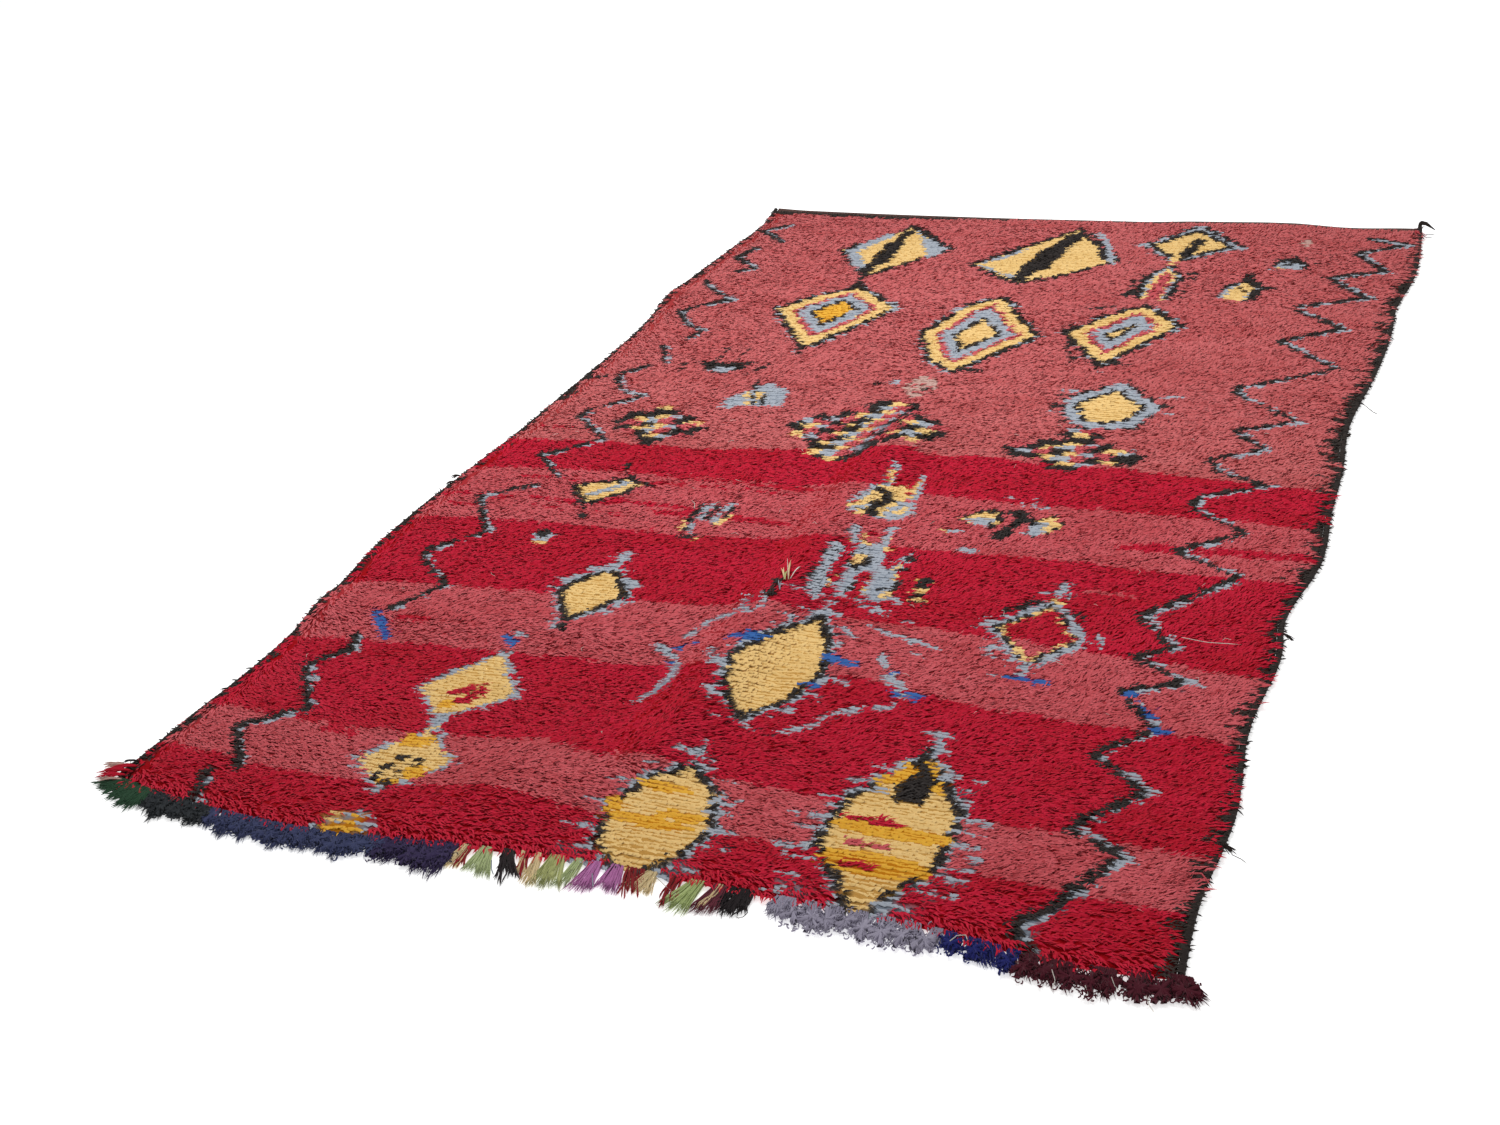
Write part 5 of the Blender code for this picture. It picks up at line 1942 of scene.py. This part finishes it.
def add_stage(sizes):
    """Sets up the white floor, the soft light and the camera."""
    half = FLOOR_HALF
    corners = [(-half, -half, 0), (half, -half, 0), (half, half, 0), (-half, half, 0)]
    mesh = bpy.data.meshes.new("studio_floor")
    mesh.from_pydata(corners, [], [(0, 1, 2, 3)])
    floor = bpy.data.objects.new("studio_floor", mesh)
    bpy.context.scene.collection.objects.link(floor)
    finish = Finish("white_floor")
    finish.dress(
        {
            "Base Color": FLOOR_COLOUR,
            "Roughness": 0.9 + 0.05 * finish.noise(3.0),
            "Emission Color": WHITE,
            "Emission Strength": sizes.floor_glow,
            "Specular IOR Level": 0.1,
        }
    )
    mesh.materials.append(finish.material)
    floor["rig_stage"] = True

    world = bpy.data.worlds.new("white_studio")
    world.use_nodes = True
    background = world.node_tree.nodes["Background"]
    background.inputs["Color"].default_value = WHITE
    background.inputs["Strength"].default_value = sizes.sky_light
    bpy.context.scene.world = world

    lamp = bpy.data.lights.new("soft_box", "AREA")
    lamp.shape = "RECTANGLE"
    lamp.size, lamp.size_y = LAMP_SIZE
    lamp.energy = sizes.lamp_power
    box = bpy.data.objects.new("soft_box", lamp)
    box.matrix_world = Matrix.Translation(LAMP_PLACE) @ Matrix.Rotation(LAMP_TILT, 4, "X")
    bpy.context.scene.collection.objects.link(box)

    camera_data = bpy.data.cameras.new("camera")
    camera_data.lens = CAMERA_LENS
    camera_data.sensor_width = SENSOR_WIDTH
    camera_data.clip_end = CLIP_END
    camera = bpy.data.objects.new("camera", camera_data)
    up = tuple(-part for part in CAMERA_DOWN)
    behind = tuple(-part for part in CAMERA_AHEAD)
    turn = Matrix((CAMERA_RIGHT, up, behind)).transposed()
    camera.matrix_world = Matrix.Translation(CAMERA_PLACE) @ turn.to_4x4()
    bpy.context.scene.collection.objects.link(camera)
    bpy.context.scene.camera = camera
    bpy.context.scene.view_settings.view_transform = "Standard"


# The add-on


def length_value(name, description, default):
    """A length in metres that the panel shows."""
    return bpy.props.FloatProperty(
        name=name, description=description, default=default, unit="LENGTH", subtype="DISTANCE", min=0.0001
    )


def colour_value(name, description, *default):
    """A colour that the panel shows, from its red, green and blue out of 255."""
    return bpy.props.FloatVectorProperty(
        name=name, description=description, default=srgb(*default), subtype="COLOR", size=3, min=0.0, max=1.0
    )


def light_value(name, description, default):
    """A strength of light that the panel shows."""
    return bpy.props.FloatProperty(name=name, description=description, default=default)


class RugValues(bpy.types.PropertyGroup):
    """Sizes and colours of the rug"""

    knot_row: length_value("Row", "From one row of knots to the next", 0.0076)
    knot_width: length_value("Knot width", "From one knot to the next along a row", 0.0071)
    pile_length: length_value("Pile length", "How far the pile reaches over the ground", 0.0170)
    yarn_radius: length_value("Yarn radius", "Of each end of yarn in the pile", 0.0027)
    crimson: colour_value("Crimson", "Pile of the bright stripes", 205, 18, 54)
    rose: colour_value("Rose", "Pile of the pale stripes", 216, 97, 104)
    blush: colour_value("Blush", "Pile of the far field", 214, 111, 112)
    gold: colour_value("Gold", "Pile of the figures", 246, 208, 138)
    saffron: colour_value("Saffron", "Pile of the deeper yellow bands", 242, 184, 60)
    black: colour_value("Black", "Pile of the outlines", 52, 46, 44)
    mist: colour_value("Mist", "Grey-blue pile of the outlines", 174, 181, 191)
    cobalt: colour_value("Cobalt", "Pile of the blue flecks", 58, 108, 176)
    cream: colour_value("Cream", "Pile of the undyed flecks", 206, 170, 160)
    charcoal: colour_value("Charcoal", "Bands beside the cords", 58, 50, 46)
    cord: colour_value("Cord", "Cords down the sides", 44, 36, 33)
    web: colour_value("Web", "Flat weave of the far end", 108, 84, 78)
    fringe_green: colour_value("Bottle green", "Fringe yarn", 46, 80, 56)
    fringe_charcoal: colour_value("Charcoal green", "Fringe yarn", 46, 50, 54)
    fringe_slate_navy: colour_value("Slate navy", "Fringe yarn", 68, 74, 110)
    fringe_aubergine: colour_value("Aubergine", "Fringe yarn", 62, 50, 88)
    fringe_pale_green: colour_value("Pale green", "Fringe yarn", 194, 206, 154)
    fringe_black_left: colour_value("Left black", "Fringe yarn", 44, 34, 36)
    fringe_cream: colour_value("Fringe cream", "Fringe yarn", 236, 214, 168)
    fringe_lime: colour_value("Lime", "Fringe yarn", 194, 198, 136)
    fringe_orchid: colour_value("Orchid", "Fringe yarn", 204, 132, 188)
    fringe_rust: colour_value("Rust", "Fringe yarn", 156, 36, 42)
    fringe_leaf: colour_value("Leaf green", "Fringe yarn", 196, 210, 146)
    fringe_maroon: colour_value("Maroon", "Fringe yarn", 122, 56, 70)
    fringe_black_right: colour_value("Right black", "Fringe yarn", 40, 32, 34)
    fringe_lilac: colour_value("Lilac grey", "Fringe yarn", 172, 166, 184)
    fringe_navy: colour_value("Navy", "Fringe yarn", 38, 44, 120)
    fringe_wine: colour_value("Wine", "Fringe yarn", 88, 22, 40)
    thread: colour_value("Thread", "Pale loose ends", 240, 234, 224)
    sky_light: light_value("Sky light", "Of the white studio", 0.49)
    lamp_power: light_value("Lamp power", "Of the soft lamp, in watts", 40.0)
    floor_glow: light_value("Floor glow", "Keeps the floor white", 0.55)


class RUG_OT_pile(bpy.types.Operator):
    """Ties every knot of the field in the yarn that the chart says"""

    bl_idname = "rug.pile"
    bl_label = "Knot the pile"

    def execute(self, context):
        add_pile(context.scene.rug)
        return {"FINISHED"}


class RUG_OT_cords(bpy.types.Operator):
    """Overcasts the cords down both sides"""

    bl_idname = "rug.cords"
    bl_label = "Overcast the sides"

    def execute(self, context):
        add_cords(context.scene.rug)
        return {"FINISHED"}


class RUG_OT_web(bpy.types.Operator):
    """Weaves the flat web of the far end"""

    bl_idname = "rug.web"
    bl_label = "Weave the end"

    def execute(self, context):
        add_web(context.scene.rug)
        return {"FINISHED"}


class RUG_OT_fringe(bpy.types.Operator):
    """Ties the tassels along the near end"""

    bl_idname = "rug.fringe"
    bl_label = "Tie the fringe"

    def execute(self, context):
        add_fringe(context.scene.rug)
        return {"FINISHED"}


class RUG_OT_threads(bpy.types.Operator):
    """Leaves the loose ends and stray hairs of an old rug"""

    bl_idname = "rug.threads"
    bl_label = "Add loose ends"

    def execute(self, context):
        add_threads(context.scene.rug)
        return {"FINISHED"}


class RUG_OT_ground(bpy.types.Operator):
    bl_idname = "rug.ground"
    bl_label = "Weave the ground"

    def execute(self, context):
        ground = add_ground(context.scene.rug)
        return {"FINISHED"}


class RUG_OT_stage(bpy.types.Operator):
    """Sets up the white floor, the light and the camera"""

    bl_idname = "rug.stage"
    bl_label = "Set the stage"

    def execute(self, context):
        add_stage(context.scene.rug)
        return {"FINISHED"}


class RUG_PT_panel(bpy.types.Panel):
    """Steps and values of the rug"""

    bl_label = "Rug"
    bl_space_type = "VIEW_3D"
    bl_region_type = "UI"
    bl_category = "Rug"

    def draw(self, context):
        for step in STEPS:
            self.layout.operator(step.bl_idname)
        for name in RugValues.__annotations__:
            self.layout.prop(context.scene.rug, name)


STEPS = (
    RUG_OT_pile,
    RUG_OT_cords,
    RUG_OT_web,
    RUG_OT_fringe,
    RUG_OT_threads,
    RUG_OT_ground,
    RUG_OT_stage,
)
CLASSES = (RugValues, *STEPS, RUG_PT_panel)


def register():
    """Makes the add-on's classes known to Blender."""
    for made in CLASSES:
        bpy.utils.register_class(made)
    bpy.types.Scene.rug = bpy.props.PointerProperty(type=RugValues)


def unregister():
    """Takes the add-on's classes out again."""
    del bpy.types.Scene.rug
    for made in reversed(CLASSES):
        bpy.utils.unregister_class(made)


def main():
    """Builds the rug and its stage."""
    register()
    bpy.ops.rug.pile()
    bpy.ops.rug.cords()
    bpy.ops.rug.web()
    bpy.ops.rug.fringe()
    bpy.ops.rug.threads()
    bpy.ops.rug.ground()
    bpy.ops.rug.stage()


if __name__ == "__main__":
    main()
